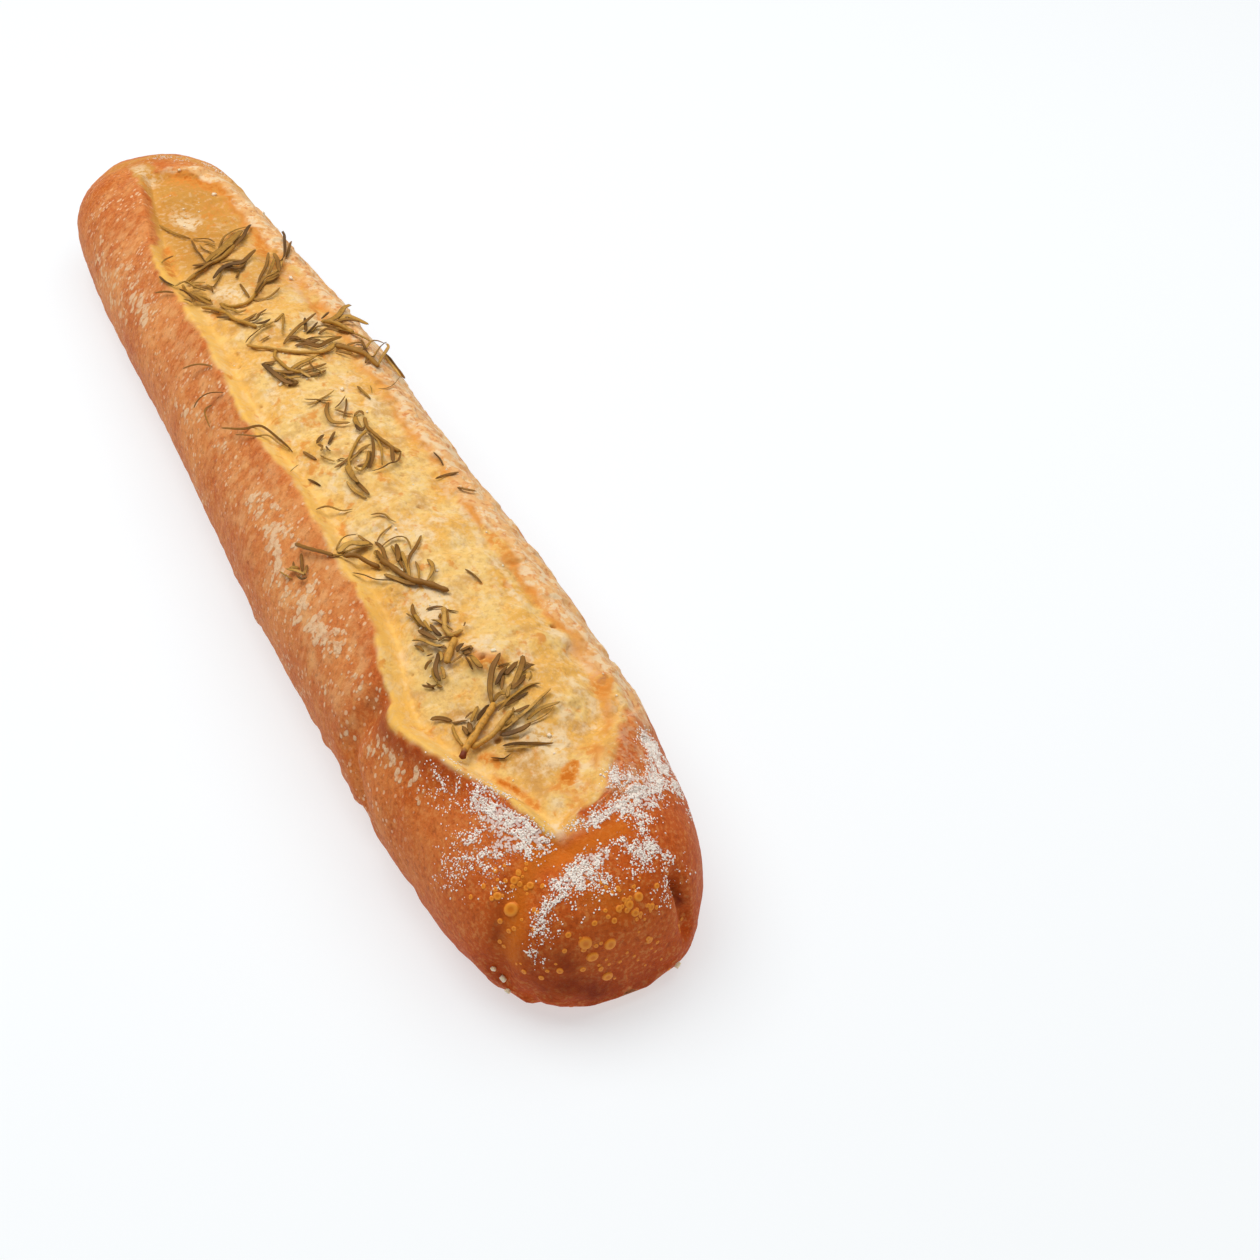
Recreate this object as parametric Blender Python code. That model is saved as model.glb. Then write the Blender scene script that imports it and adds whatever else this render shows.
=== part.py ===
"""A rosemary baguette, opened along its top, at its real size.

The loaf lies along X with its floured end at +X. Its crust is a closed surface
swept along a spine; two lips bound the open, sunken crumb on top. Loose needles
and coarse salt are part of the loaf's solid, and every sprig of rosemary is a
solid of its own that rests on the loaf. All lengths are in millimetres, and MM
turns them into metres.
"""
import math
import random

import bmesh
import bpy
import numpy as np
from mathutils import Vector
from mathutils.bvhtree import BVHTree

MM = 0.001
SEED = 7

# ---- driving dimensions of the loaf ------------------------------------------
LENGTH = 450.0
HALF = LENGTH / 2
FAR_CAP = 40.0            # length of the rounded end at -X
NEAR_CAP = 46.0           # length of the blunter end at +X
NEAR_BLUNT = 2.7          # superellipse exponent of the blunt end
TIP_HEIGHT = 9.0          # height of the two end points
TIP_RISE = 0.45           # how late the underside leaves the floor near a tip
BELLY = 0.40              # height of the widest line, as a share of the height
FOOT_HALF = 15.0          # half width of the flat underside at the loaf's middle
FOOT_FLARE = 2.5          # how much wider it is towards the ends, so that the loaf rests on those
FOOT_MIDDLE = -2.5        # y of its centre line
FOOT_STEP = 0.8           # how far the underside lifts off the floor where the foot ends
STEP_SHARE = 0.02         # share of the width over which it does
SIDE_ROUND = 2.2          # superellipse exponents of the section
TOP_ROUND = 2.1
UNDER_ROUND = 2.8

# (x, value) pairs along the loaf, joined by a smooth curve
HALF_WIDTH = [(-225, 31), (-180, 34), (-135, 36.5), (-75, 39), (-15, 40.5), (45, 41.5), (100, 42.2),
              (145, 42.2), (180, 39.0), (225, 34.0)]
SPINE = [(-225, 0), (-180, -1.2), (-135, -1.7), (-75, -1), (-15, -2.6), (45, -3.7), (100, -3.8),
         (145, -4), (180, -5.2), (225, -5.8)]
HEIGHT = [(-225, 37), (-180, 45), (-135, 48), (-15, 53), (100, 55), (180, 52), (225, 46)]
# (x, degrees from the top) of the two lips of the cut
LIP_LEFT = [(-186, -8), (-151, -19.5), (-109, -30), (-60, -29.5), (0, -31), (45, -27), (85, -27.5),
            (112, -31), (131, -39), (143, -42), (156, -37), (173, -27.5), (191, -17), (202, -13)]
LIP_RIGHT = [(-186, -8), (-178, 25), (-165, 42), (-120, 46), (0, 44), (60, 42), (110, 44), (146, 50),
             (165, 45), (177, 32), (187, 21), (194, 12), (198, -2), (202, -13)]
CUT_ENDS = (-186.0, 202.0)
CUT_FADE = 9.0            # length over which the cut deepens from its ends
LEAST_GAP = 16.0          # degrees kept between the lips past the cut's ends
LIP_MERGE = 20.0          # width of the cut below which the columns at its lips draw together

# ---- relief, measured along the surface's normal -------------------------------
LIP_RISE = [(-186, 0.8), (-60, 1.5), (60, 1.5), (120, 1.6), (143, 3.0), (180, 2.4), (202, 1.2)]
LIP_OUTER = 5.5           # how far the raised lip reaches into the crust
LIP_INNER = 2.0           # and into the crumb
LEFT_DEPTH = 4.2          # depth of the crumb just inside the left lip
LEFT_RAMP = 4.5
CENTRE_DEPTH = 2.0
DEPTH_FADE = 14.0
RIGHT_RAMP = 9.0
RIGHT_RISE = 0.7
NEAR_BOWL = (158.0, -16.0, 26.0, 15.0, 2.2)     # x, y, half length, half width, depth
FAR_BOWL = (-138.0, 4.0, 34.0, 17.0, 2.6)
CRUMB_LUMP = 13.0
CRUMB_LUMP_HEIGHT = 1.3
BODY_WAVE = 46.0
BODY_WAVE_HEIGHT = 1.0
END_LOBE = 11.0
END_LOBE_HEIGHT = 1.3
END_LOBE_START = 196.0
END_LOBE_REACH = 12.0     # length over which the lobes grow
END_LOBE_TOP = 22.0
END_LOBE_FADE = 10.0      # height over which they fade upwards
FOOT_FADE = 7.0           # height over which the relief grows from the flat foot
TIP_FADE = 0.5            # share of the width at which it is whole near the tips
# folds in the crust: points of the valley, half width, depth
FOLDS = [
    ([(132, -34, 46.5), (130, -40, 41.5), (129.5, -46, 30), (139, -47, 18.5)], 5.0, 3.2),
    ([(203, -14, 45.6), (207, -25, 39.5), (210, -34, 24), (210, -35, 13.7)], 4.0, 2.4),
    ([(218, 14, 34), (220.5, 14.6, 26), (222, 15, 16)], 2.6, 3.0),
]

# ---- mesh ----------------------------------------------------------------------
RING_STEP = 6.8
CAP_RINGS = 9
FIRST_RING = 12.0         # turn of the first ring round an end, in degrees
FLANK_COLUMNS = 9
CRUMB_COLUMNS = 12
FOOT_COLUMNS = 2
LIP_COLUMNS = (-6.0, -2.4, 0.0, 1.8, 4.6)       # arc distance from the left lip
EDGE_COLUMNS = (-7.0, -2.0, 3.0)                # arc distance past the right lip
CREASE = 50.0             # edges sharper than this many degrees are drawn sharp

# ---- rosemary and salt -----------------------------------------------------------
GAP = 0.4                 # clear space between a sprig and the loaf
NEEDLE_WIDTH = 1.6
NEEDLE_THICKNESS = 1.0
NEEDLE_POINTS = 5
NEEDLE_ENDS = 0.12        # half turn, as a share, cut off each end of the width's sine
STEM_WIDTH = 1.9
STEM_SIDES = 6
STEM_STEP = 3.5
STIFF_DROP = 0.3          # steepest fall of a stem or needle, as a slope
PROBE = 1.3               # half width of the strip that a needle clears
TIP_LIFT = 2.4            # most that a needle's tip stands off the crumb
SINK = 0.15               # how far a loose needle's ends lie below the surface
LOOSE_RISE = 0.35         # and how far its middle lies above them
SALT_COUNT = 22
SALT_SIZES = (0.9, 1.5)
SALT_STRETCH = (1.2, 0.85, 0.9)
SALT_UNEVEN = 0.15
SALT_STAND = 0.35         # height of a grain's centre, as a share of its size
SALT_AREA = ((-161, 184), (-17, 22))            # x, then y from the spine
SALT_CLEAR = 4.5

# Each sprig: its stems as points (x, y), then one row for each needle:
# tip x, tip y, root x, root y, and how far its middle bows to the left of that line.
SPRIGS = {
    "rosemary_sprig_01": (
        [[(-84, -19), (-92, -18), (-97, -9), (-102, -1), (-110, 5)]],
        [(-138, -13, -111, 3, -2.8), (-118, -6, -101, -5, 0), (-128, 19, -110, 5, -0.7),
         (-125, 22, -104, 1, 3.9), (-100, 12, -97, -8, 4.7), (-93, 4, -101, -2, 0.3),
         (-86, -1, -96, -10, 0.8), (-104, -12, -99, -4, 2.0), (-101, -17, -95, -13, 1.1),
         (-88, -6, -94, -15, -2.0), (-108, -23, -92, -18, 0.5), (-98, -28, -90, -18, 1.5),
         (-84, -10, -91, -17, 1.0), (-79, -12, -88, -18, 0.6), (-78, -23, -85, -19, 0.8)]),
    "rosemary_sprig_02": (
        [[(-75, -18), (-64, -15), (-56, -10), (-53, -5)]],
        [(-67, -20, -60, -13, 0.5), (-46, -10, -60, -13, 1.2), (-48, 1, -53, -6, 1.6),
         (-59, 2, -54, -7, 0.4), (-48, -5, -56, -10, -0.6)]),
    "rosemary_sprig_03": (
        [[(-73, -11), (-68, -1), (-72, 11)], [(-69, 1), (-86, 9), (-102, 18)]],
        [(-62, -5, -71, -9, 1.5), (-82, -2, -70, 3, 0), (-100, 10, -80, 6, 1.9),
         (-119, 28, -99, 16, 2.0), (-110, 31, -96, 15, -1.5), (-109, 13, -95, 14, 0.8),
         (-84, 17, -71, 8, 1.0)]),
    "rosemary_sprig_04": (
        [[(-41, -12), (-36, -6), (-29, -1), (-27, 8), (-30, 16), (-33, 25)],
         [(-35, -5), (-42, 7), (-47, 15), (-55, 26)]],
        [(-50, 1, -40, -11, 0.8), (-44, -3, -37, -7, 0), (-53, 12, -44, 11, 0.6),
         (-39, 10, -44, 12, 0.5), (-63, 32, -51, 21, -1.0), (-56, 35, -48, 17, 2.1),
         (-46, 35, -46, 15, -2.8), (-38, 19, -29, 5, -0.9), (-17, 25, -29, 14, 1.3),
         (-20, 17, -28, 9, 0.6), (-41, 34, -32, 23, 1.0), (-16, 36, -33, 24, 2.4),
         (-22, 28, -31, 18, 0.8), (-35, 34, -33, 24, 0.6)]),
    "rosemary_sprig_05": (
        [[(-29, -12), (-21, -9), (-11, -5)], [(-22, -9), (-18, -3), (-19, 3)]],
        [(-33, -4, -27, -11, 2.2), (-25, 7, -19, 1, -2.0), (-17, 9, -19, 1, 0.4),
         (-11, 1, -18, -3, 0.3), (-9, -9, -15, -7, 0.3), (-25, -2, -20, -6, 0.5)]),
    "rosemary_sprig_06": (
        [[(13, 8), (19, 9), (23, 6), (31, 9), (40, 11)],
         [(24, 6), (33, -2), (39, -8), (47, -10), (59, -8)], [(39, -8), (31, -12), (24, -11)]],
        [(4, 0, 21, 6, -3.4), (3, 5, 14, 8, 2.6), (8, 11, 17, 8, 1.0), (46, -2, 25, 5, 1.7),
         (45, 3, 28, 8, 0.8), (48, -3, 38, 10, 3.2), (42, -5, 30, 1, -0.9), (58, -4, 46, -9, 1.0),
         (20, -4, 28, -11, -1.7), (26, -16, 31, -12, 0.5), (15, 2, 23, 6, -1.3)]),
    "rosemary_sprig_07": (
        [[(60, -33), (67, -29), (74, -25), (87, -15), (96, -11), (102, -8), (109, -3)],
         [(96, -11), (86, -13), (78, -13), (76, -7), (71, -4), (65, -8)]],
        [(72, -15, 75, -24, 1.4), (80, -17, 75, -24, 1.6), (87, -5, 79, -13, 4.2),
         (80, -8, 89, -13, 1.2), (82, 1, 96, -11, -0.9), (83, -25, 96, -12, -2.2),
         (90, -5, 100, -9, 0.9), (93, 0, 101, -8, 2.0), (93, -18, 101, -9, -1.2),
         (106, -13, 99, -10, 0.6)]),
    "rosemary_sprig_08": (
        [[(109, -17), (118, -13), (126, -9), (131, -11), (136, -16)], [(133, -13), (135, -7), (131, -5)]],
        [(107, -13, 118, -13, -0.9), (116, -2, 119, -12, 0.8), (113, -7, 122, -11, 0),
         (122, -3, 126, -9, -1.8), (121, -21, 128, -10, 1.2), (118, -19, 125, -10, 0.4),
         (141, -11, 134, -12, 0.3), (141, -7, 135, -9, 0), (134, -23, 129, -11, -1.6),
         (141, -21, 132, -12, -1.9), (139, -16, 135, -14, 0.3)]),
    "rosemary_sprig_09": (
        [[(166, -26), (164, -21), (155, -10), (150, -4), (143, 3)], [(164, -21), (161, -8), (156, 6)],
         [(163, -21), (156, -22), (149, -27)]],
        [(162, 7, 160, -6, -1.1), (168, -4, 163, -15, 0.6), (165, 3, 161, -8, 2.2),
         (138, 0, 153, -8, 2.1), (142, -5, 151, -6, 1.4), (139, 6, 147, -1, -0.4),
         (146, 9, 145, 1, 0), (152, 5, 157, -12, 1.0), (150, 8, 157, 2, 0.6),
         (147, -20, 156, -22, -1.0), (153, -28, 160, -22, 0.6), (151, -15, 158, -22, -0.3),
         (149, -10, 160, -17, -0.8)]),
}
# Loose needles, in the same form without a stem to grow from.
LOOSE_NEEDLES = [
    (-6, 12, 8, 14, 0.8), (-4, 18, 2, 17, 0), (-3, 21, -12, 30, -2.0), (0, -6, 0, 4, -2.0),
    (31, -24, 31, -19, 0), (38, -20, 44, -17, 0), (53, -23, 60, -12, -1.7),
    (-46, -34, -41, -26, 0), (-29, -35, -32, -27, -1.2), (-24, -34, -15, -35, 0.4),
    (-2, -31, 6, -22, 1.2), (8, -22, 24, -20, 0.8), (38, 22, 46, 22, 0.5), (51, 17, 52, 25, 0),
    (59, 21, 63, 26, 0), (169, -15, 173, -1, 0.2), (172, -17, 176, -7, 1.0),
    (62, -38, 66, -39, 0), (66, -34, 74, -37, 0), (72, -32, 73, -38, 0), (-20, -20, -13, -16, 0),
    (99, 6, 107, 8, 0.4), (-118, -14, -113, -20, 0),
]
SALT_PLACES = [(46, 14), (136, -29), (68, -14), (190, -25), (-60, 10)]

# material: linear colour, roughness
MATERIALS = {
    "baked_crust": ((0.56, 0.20, 0.055), 0.62),
    "dried_rosemary": ((0.17, 0.115, 0.035), 0.68),
}


# ---- curves and noise ------------------------------------------------------------
def along(x, table):
    """Smooth curve through the (x, value) pairs of a table, without overshoot."""
    knots = np.array([pair[0] for pair in table], float)
    values = np.array([pair[1] for pair in table], float)
    spans = np.diff(knots)
    slopes = np.diff(values) / spans
    tangents = np.zeros_like(values)
    product = slopes[:-1] * slopes[1:]
    total = np.where(slopes[:-1] + slopes[1:] == 0, 1, slopes[:-1] + slopes[1:])
    tangents[1:-1] = np.where(product > 0, 2 * product / total, 0)
    tangents[0] = slopes[0]
    tangents[-1] = slopes[-1]
    x = np.clip(x, knots[0], knots[-1])
    i = np.clip(np.searchsorted(knots, x) - 1, 0, len(knots) - 2)
    t = (x - knots[i]) / spans[i]
    return ((1 + 2 * t) * (1 - t) ** 2 * values[i] + t * (1 - t) ** 2 * spans[i] * tangents[i]
            + t * t * (3 - 2 * t) * values[i + 1] + t * t * (t - 1) * spans[i] * tangents[i + 1])


def smooth(t):
    """Ease from 0 to 1 while t goes from 0 to 1."""
    t = np.clip(t, 0, 1)
    return t * t * (3 - 2 * t)


def lattice(i, j, k, seed):
    """A fixed value from -1 to 1 for each whole-number point of space."""
    h = (i * 374761393 + j * 668265263 + k * 1274126177 + seed * 974634777) & 0xFFFFFFFF
    h = ((h ^ (h >> 13)) * 1103515245) & 0xFFFFFFFF
    h = ((h ^ (h >> 15)) * 2654435761) & 0xFFFFFFFF
    return (h ^ (h >> 16)) / 0x7FFFFFFF - 1


def noise(points, size, seed):
    """Smooth noise from -1 to 1 with bumps about `size` across."""
    scaled = points / size
    cell = np.floor(scaled).astype(np.int64)
    f = smooth(scaled - cell)
    result = 0
    for corner in range(8):
        step = np.array([corner & 1, corner >> 1 & 1, corner >> 2])
        weight = np.prod(np.where(step == 1, f, 1 - f), axis=-1)
        where = cell + step
        result = result + weight * lattice(where[..., 0], where[..., 1], where[..., 2], seed)
    return result


def distance_to_path(points, path):
    """Distance from each point to a polyline in space."""
    best = np.full(points.shape[:-1], np.inf)
    for start, end in zip(path[:-1], path[1:]):
        a = np.array(start, float)
        edge = np.array(end, float) - a
        t = np.clip(((points - a) @ edge) / (edge @ edge), 0, 1)
        gap = np.linalg.norm(points - a - t[..., None] * edge, axis=-1)
        best = np.minimum(best, gap)
    return best


# ---- the loaf ----------------------------------------------------------------------
def reach(x):
    """1 along the loaf, falling to 0 at its two tips."""
    far = np.clip(1 - (x + HALF) / FAR_CAP, 0, 1)
    near = np.clip(1 - (HALF - x) / NEAR_CAP, 0, 1)
    return np.sqrt(1 - far ** 2) * (1 - near ** NEAR_BLUNT) ** (1 / NEAR_BLUNT)


def section(x, angle):
    """Points of the loaf without its cut, for angles in degrees from the top, left negative."""
    size = reach(x)[:, None]
    half_width = along(x, HALF_WIDTH)[:, None] * size
    top = TIP_HEIGHT + (along(x, HEIGHT)[:, None] - TIP_HEIGHT) * np.sqrt(size)
    bottom = TIP_HEIGHT * (1 - size ** TIP_RISE) + FOOT_STEP * smooth((1 - size) / STEP_SHARE) * size
    belly = bottom + BELLY * (top - bottom)
    spine = along(x, SPINE)[:, None]
    side = np.sign(angle)
    foot_edge = FOOT_MIDDLE + side * (FOOT_HALF + FOOT_FLARE * (x[:, None] / HALF) ** 2)
    foot = side * (foot_edge - spine) * size
    turn = np.radians(np.abs(angle))
    sine = np.abs(np.sin(turn))
    cosine = np.abs(np.cos(turn))
    upper = turn <= math.pi / 2
    y = np.where(upper, half_width * sine ** (2 / SIDE_ROUND),
                 foot + (half_width - foot) * sine ** (2 / UNDER_ROUND))
    z = np.where(upper, belly + (top - belly) * cosine ** (2 / TOP_ROUND),
                 belly - (belly - bottom) * cosine ** (2 / UNDER_ROUND))
    x = np.broadcast_to(x[:, None], y.shape)
    return np.stack([x, spine + side * y, z], axis=-1)


def arc_table(x):
    """Angles, and the arc length from the left foot up to each, for every ring."""
    angles = np.linspace(-180, 180, 361)
    points = section(x, np.broadcast_to(angles, (len(x), len(angles))))
    steps = np.linalg.norm(np.diff(points, axis=1), axis=-1)
    lengths = np.concatenate([np.zeros((len(x), 1)), np.cumsum(steps, axis=1)], axis=1)
    return angles, lengths


def ring_places():
    """Where the rings lie along X, closer together round the two ends."""
    turns = np.radians(np.linspace(FIRST_RING, 90, CAP_RINGS))
    far = -HALF + FAR_CAP * (1 - np.cos(turns))
    near = HALF - NEAR_CAP * (1 - np.cos(turns) ** (2 / NEAR_BLUNT))
    count = int((near[-1] - far[-1]) / RING_STEP)
    middle = np.linspace(far[-1], near[-1], count + 1)
    return np.concatenate([far[:-1], middle, near[-2::-1]])


def surface_grid(x):
    """The loaf's rings as an array of points, and the columns of the two lips."""
    angles, lengths = arc_table(x)
    left_angle = along(x, LIP_LEFT)
    right_angle = np.maximum(along(x, LIP_RIGHT), left_angle + LEAST_GAP)
    size = reach(x)
    left = np.array([np.interp(a, angles, row) for a, row in zip(left_angle, lengths)])
    right = np.array([np.interp(a, angles, row) for a, row in zip(right_angle, lengths)])
    whole = lengths[:, -1]
    columns = []
    flank = np.linspace(0, 1, FLANK_COLUMNS, endpoint=False)
    for share in flank:
        columns.append(share * (left + LIP_COLUMNS[0] * size))
    for step in LIP_COLUMNS:
        columns.append(left + step * size * smooth((right - left) / LIP_MERGE))
    start = columns[-1]
    end = right + EDGE_COLUMNS[0] * size * smooth((right - left) / LIP_MERGE)
    for share in np.linspace(0, 1, CRUMB_COLUMNS + 2)[1:-1]:
        columns.append(start + share * (end - start))
    for step in EDGE_COLUMNS:
        columns.append(right + step * size * smooth((right - left) / LIP_MERGE))
    start = columns[-1]
    for share in flank + flank[1]:
        columns.append(start + share * (whole - start))
    arc = np.stack(columns, axis=1)
    angle = np.array([np.interp(a, row, angles) for a, row in zip(arc, lengths)])
    points = section(x, angle)
    normals = np.cross(np.gradient(points, axis=0), np.gradient(points, axis=1))
    normals /= np.linalg.norm(normals, axis=-1, keepdims=True)
    offset = relief(points, arc - left[:, None], right[:, None] - arc)
    return points + normals * offset[..., None]


def bowl(points, shape):
    """A shallow round hollow in the crumb."""
    x, y, half_length, half_width, depth = shape
    along_x = ((points[..., 0] - x) / half_length) ** 2
    across = ((points[..., 1] - y) / half_width) ** 2
    return depth * np.exp(-along_x - across)


def relief(points, from_left, from_right):
    """How far each point moves out along its normal; the arcs are measured from the lips."""
    x, z = points[..., 0], points[..., 2]
    is_open = smooth((x - CUT_ENDS[0]) / CUT_FADE) * smooth((CUT_ENDS[1] - x) / CUT_FADE)
    inside = is_open * smooth(from_left / LEFT_RAMP) * smooth(from_right / RIGHT_RAMP)
    depth = CENTRE_DEPTH + (LEFT_DEPTH - CENTRE_DEPTH) * np.exp(-np.maximum(from_left, 0) / DEPTH_FADE)
    depth = depth + bowl(points, NEAR_BOWL) + bowl(points, FAR_BOWL)
    lumps = CRUMB_LUMP_HEIGHT * noise(points, CRUMB_LUMP, SEED)
    lip_reach = np.where(from_left < 0, LIP_OUTER, LIP_INNER)
    lip = along(x, LIP_RISE) * np.exp(-(from_left / lip_reach) ** 2)
    edge = RIGHT_RISE * np.exp(-(from_right / LIP_OUTER) ** 2)
    body = BODY_WAVE_HEIGHT * noise(points, BODY_WAVE, SEED + 1)
    lobes = smooth((x - END_LOBE_START) / END_LOBE_REACH) * smooth((END_LOBE_TOP - z) / END_LOBE_FADE)
    body = body + END_LOBE_HEIGHT * lobes * noise(points, END_LOBE, SEED + 2)
    offset = body + is_open * (lip + edge) + inside * (lumps - depth)
    for path, half_width, fold_depth in FOLDS:
        offset = offset - fold_depth * np.exp(-(distance_to_path(points, path) / half_width) ** 2)
    return offset * smooth(z / FOOT_FADE) * smooth(reach(x) / TIP_FADE)


def loaf_mesh():
    """The closed triangle mesh of the loaf: rings, a flat foot and a fan at each end."""
    x = ring_places()
    grid = surface_grid(x)
    left_foot, right_foot = grid[:, :1], grid[:, -1:]
    shares = np.linspace(0, 1, FOOT_COLUMNS + 2)[1:-1, None]
    foot = right_foot + (left_foot - right_foot) * shares
    grid = np.concatenate([grid, foot], axis=1)
    rings, columns = grid.shape[:2]
    mesh = bmesh.new()
    rows = [[mesh.verts.new(Vector(point) * MM) for point in ring] for ring in grid]
    for i in range(rings - 1):
        for j in range(columns):
            k = (j + 1) % columns
            a, b, c, d = rows[i][j], rows[i][k], rows[i + 1][k], rows[i + 1][j]
            if (i + j) % 2:
                mesh.faces.new((a, b, c))
                mesh.faces.new((a, c, d))
            else:
                mesh.faces.new((a, b, d))
                mesh.faces.new((b, c, d))
    for row, tip_x in ((rows[0], -HALF), (rows[-1], HALF)):
        spine = float(along(np.array([tip_x]), SPINE)[0])
        tip = mesh.verts.new(Vector((tip_x, spine, TIP_HEIGHT)) * MM)
        for j in range(columns):
            pair = (row[(j + 1) % columns], row[j])
            mesh.faces.new((pair if tip_x < 0 else pair[::-1]) + (tip,))
    bmesh.ops.recalc_face_normals(mesh, faces=mesh.faces)
    return mesh


# ---- rosemary and salt -------------------------------------------------------------
class Ground:
    """The loaf's upper surface, asked for its height from above."""

    START = 0.12

    def __init__(self, mesh):
        self.tree = BVHTree.FromBMesh(mesh)

    def height(self, x, y):
        hit = self.tree.ray_cast(Vector((x * MM, y * MM, self.START)), Vector((0, 0, -1)))[0]
        return hit.z / MM if hit else 0.0

    def highest(self, x, y, margin):
        """The greatest height within a small square round a point."""
        steps = (-margin, 0.0, margin)
        return max(self.height(x + dx, y + dy) for dx in steps for dy in steps)


def bowed(start, end, bow, count):
    """Points from start to end on an arc whose middle stands `bow` to the left."""
    dx, dy = end[0] - start[0], end[1] - start[1]
    length = math.hypot(dx, dy)
    points = []
    for i in range(count):
        t = i / (count - 1)
        side = 4 * bow * t * (1 - t)
        points.append((start[0] + dx * t - dy / length * side, start[1] + dy * t + dx / length * side))
    return points


def smooth_route(corners, step):
    """Catmull-Rom points through the corners of a stem."""
    ends = [corners[0]] + list(corners) + [corners[-1]]
    route = []
    for p0, p1, p2, p3 in zip(ends[:-3], ends[1:-2], ends[2:-1], ends[3:]):
        count = max(2, round(math.dist(p1, p2) / step))
        for i in range(count):
            t = i / count
            route.append(tuple(
                0.5 * (2 * b + (c - a) * t + (2 * a - 5 * b + 4 * c - d) * t * t
                       + (3 * b - a - 3 * c + d) * t ** 3)
                for a, b, c, d in zip(p0, p1, p2, p3)))
    route.append(corners[-1])
    return route


def laid(points, ground, clearance, first_height=None):
    """Lift plan points onto the loaf; a stiff piece bridges what falls away steeply."""
    lifted = []
    for i, (x, y) in enumerate(points):
        z = ground.highest(x, y, PROBE) + clearance
        if i == 0 and first_height is not None:
            z = first_height
        elif i:
            z = max(z, lifted[-1][2] - STIFF_DROP * math.dist((x, y), lifted[-1][:2]))
        lifted.append((x, y, z))
    return lifted


def tube(points, widths, thickness, sides):
    """A closed tapering piece through the points, flattened by its thickness."""
    mesh = bmesh.new()
    centres = [Vector(p) for p in points]
    rings = []
    for i in range(1, len(centres) - 1):
        ahead = (centres[i + 1] - centres[i - 1]).normalized()
        across = ahead.cross(Vector((0, 0, 1))).normalized()
        above = across.cross(ahead)
        ring = []
        for k in range(sides):
            turn = 2 * math.pi * (k + 0.5 * (sides > 4)) / sides
            offset = across * math.cos(turn) * widths[i] + above * math.sin(turn) * widths[i] * thickness
            ring.append(mesh.verts.new((centres[i] + offset) * MM))
        rings.append(ring)
    for low, high in zip(rings[:-1], rings[1:]):
        for k in range(sides):
            n = (k + 1) % sides
            mesh.faces.new((low[k], low[n], high[n]))
            mesh.faces.new((low[k], high[n], high[k]))
    for ring, point in ((rings[0], centres[0]), (rings[-1], centres[-1])):
        tip = mesh.verts.new(point * MM)
        for k in range(sides):
            mesh.faces.new((ring[k], ring[(k + 1) % sides], tip))
    bmesh.ops.recalc_face_normals(mesh, faces=mesh.faces)
    return mesh


def stem(route):
    """A round woody stem with short pointed ends."""
    half = STEM_WIDTH / 2
    return tube(route, [half] * len(route), 1.0, STEM_SIDES)


def needle(points, rng):
    """One narrow leaf: widest in its middle and tapering to both ends."""
    half = NEEDLE_WIDTH / 2 * rng.uniform(0.85, 1.15)
    last = len(points) - 1
    turns = [NEEDLE_ENDS + (1 - 2 * NEEDLE_ENDS) * i / last for i in range(len(points))]
    widths = [half * math.sin(math.pi * turn) for turn in turns]
    return tube(points, widths, NEEDLE_THICKNESS / NEEDLE_WIDTH, 4)


def nearest(routes, x, y):
    """The stem point that lies closest to (x, y) in plan, away from the stems' pointed ends."""
    inner = (point for route in routes for point in route[1:-1])
    return min(inner, key=lambda point: math.dist(point[:2], (x, y)))


def sprig_pieces(stems, rows, ground, rng):
    """Closed meshes of a sprig's stems and needles, which overlap each other."""
    routes = []
    for corners in stems:
        plan = smooth_route(corners, STEM_STEP)
        start = nearest(routes, *plan[0])[2] if routes else None
        routes.append(laid(plan, ground, GAP + STEM_WIDTH / 2, start))
    pieces = [stem(route) for route in routes]
    for tip_x, tip_y, root_x, root_y, bow in rows:
        root = nearest(routes, root_x, root_y)
        plan = bowed(root[:2], (tip_x, tip_y), -bow, NEEDLE_POINTS)
        points = laid(plan, ground, GAP + NEEDLE_THICKNESS / 2, root[2])
        lift = rng.uniform(0, TIP_LIFT)
        last = NEEDLE_POINTS - 1
        points = [(x, y, z + lift * (i / last) ** 2) for i, (x, y, z) in enumerate(points)]
        pieces.append(needle(points, rng))
    return pieces


def loose_needle(row, ground, rng):
    """A needle that lies half sunk in the crumb, so that it is one solid with it."""
    tip_x, tip_y, root_x, root_y, bow = row
    plan = bowed((root_x, root_y), (tip_x, tip_y), -bow, NEEDLE_POINTS)
    points = [(x, y, ground.height(x, y) - SINK) for x, y in plan]
    middle = [(x, y, z + LOOSE_RISE) for x, y, z in points[1:-1]]
    return needle([points[0]] + middle + [points[-1]], rng)


def salt_grain(x, y, ground, rng):
    """A coarse crystal: a small uneven icosahedron, sunk by a third."""
    size = rng.uniform(*SALT_SIZES)
    mesh = bmesh.new()
    bmesh.ops.create_icosphere(mesh, subdivisions=1, radius=size * MM)
    centre = Vector((x, y, ground.height(x, y) + size * SALT_STAND)) * MM
    turn = rng.uniform(0, math.pi)
    for vert in mesh.verts:
        stretched = vert.co * Vector(SALT_STRETCH)
        stretched *= rng.uniform(1 - SALT_UNEVEN, 1 + SALT_UNEVEN)
        vert.co = centre + Vector((
            stretched.x * math.cos(turn) - stretched.y * math.sin(turn),
            stretched.x * math.sin(turn) + stretched.y * math.cos(turn), stretched.z))
    return mesh


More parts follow.
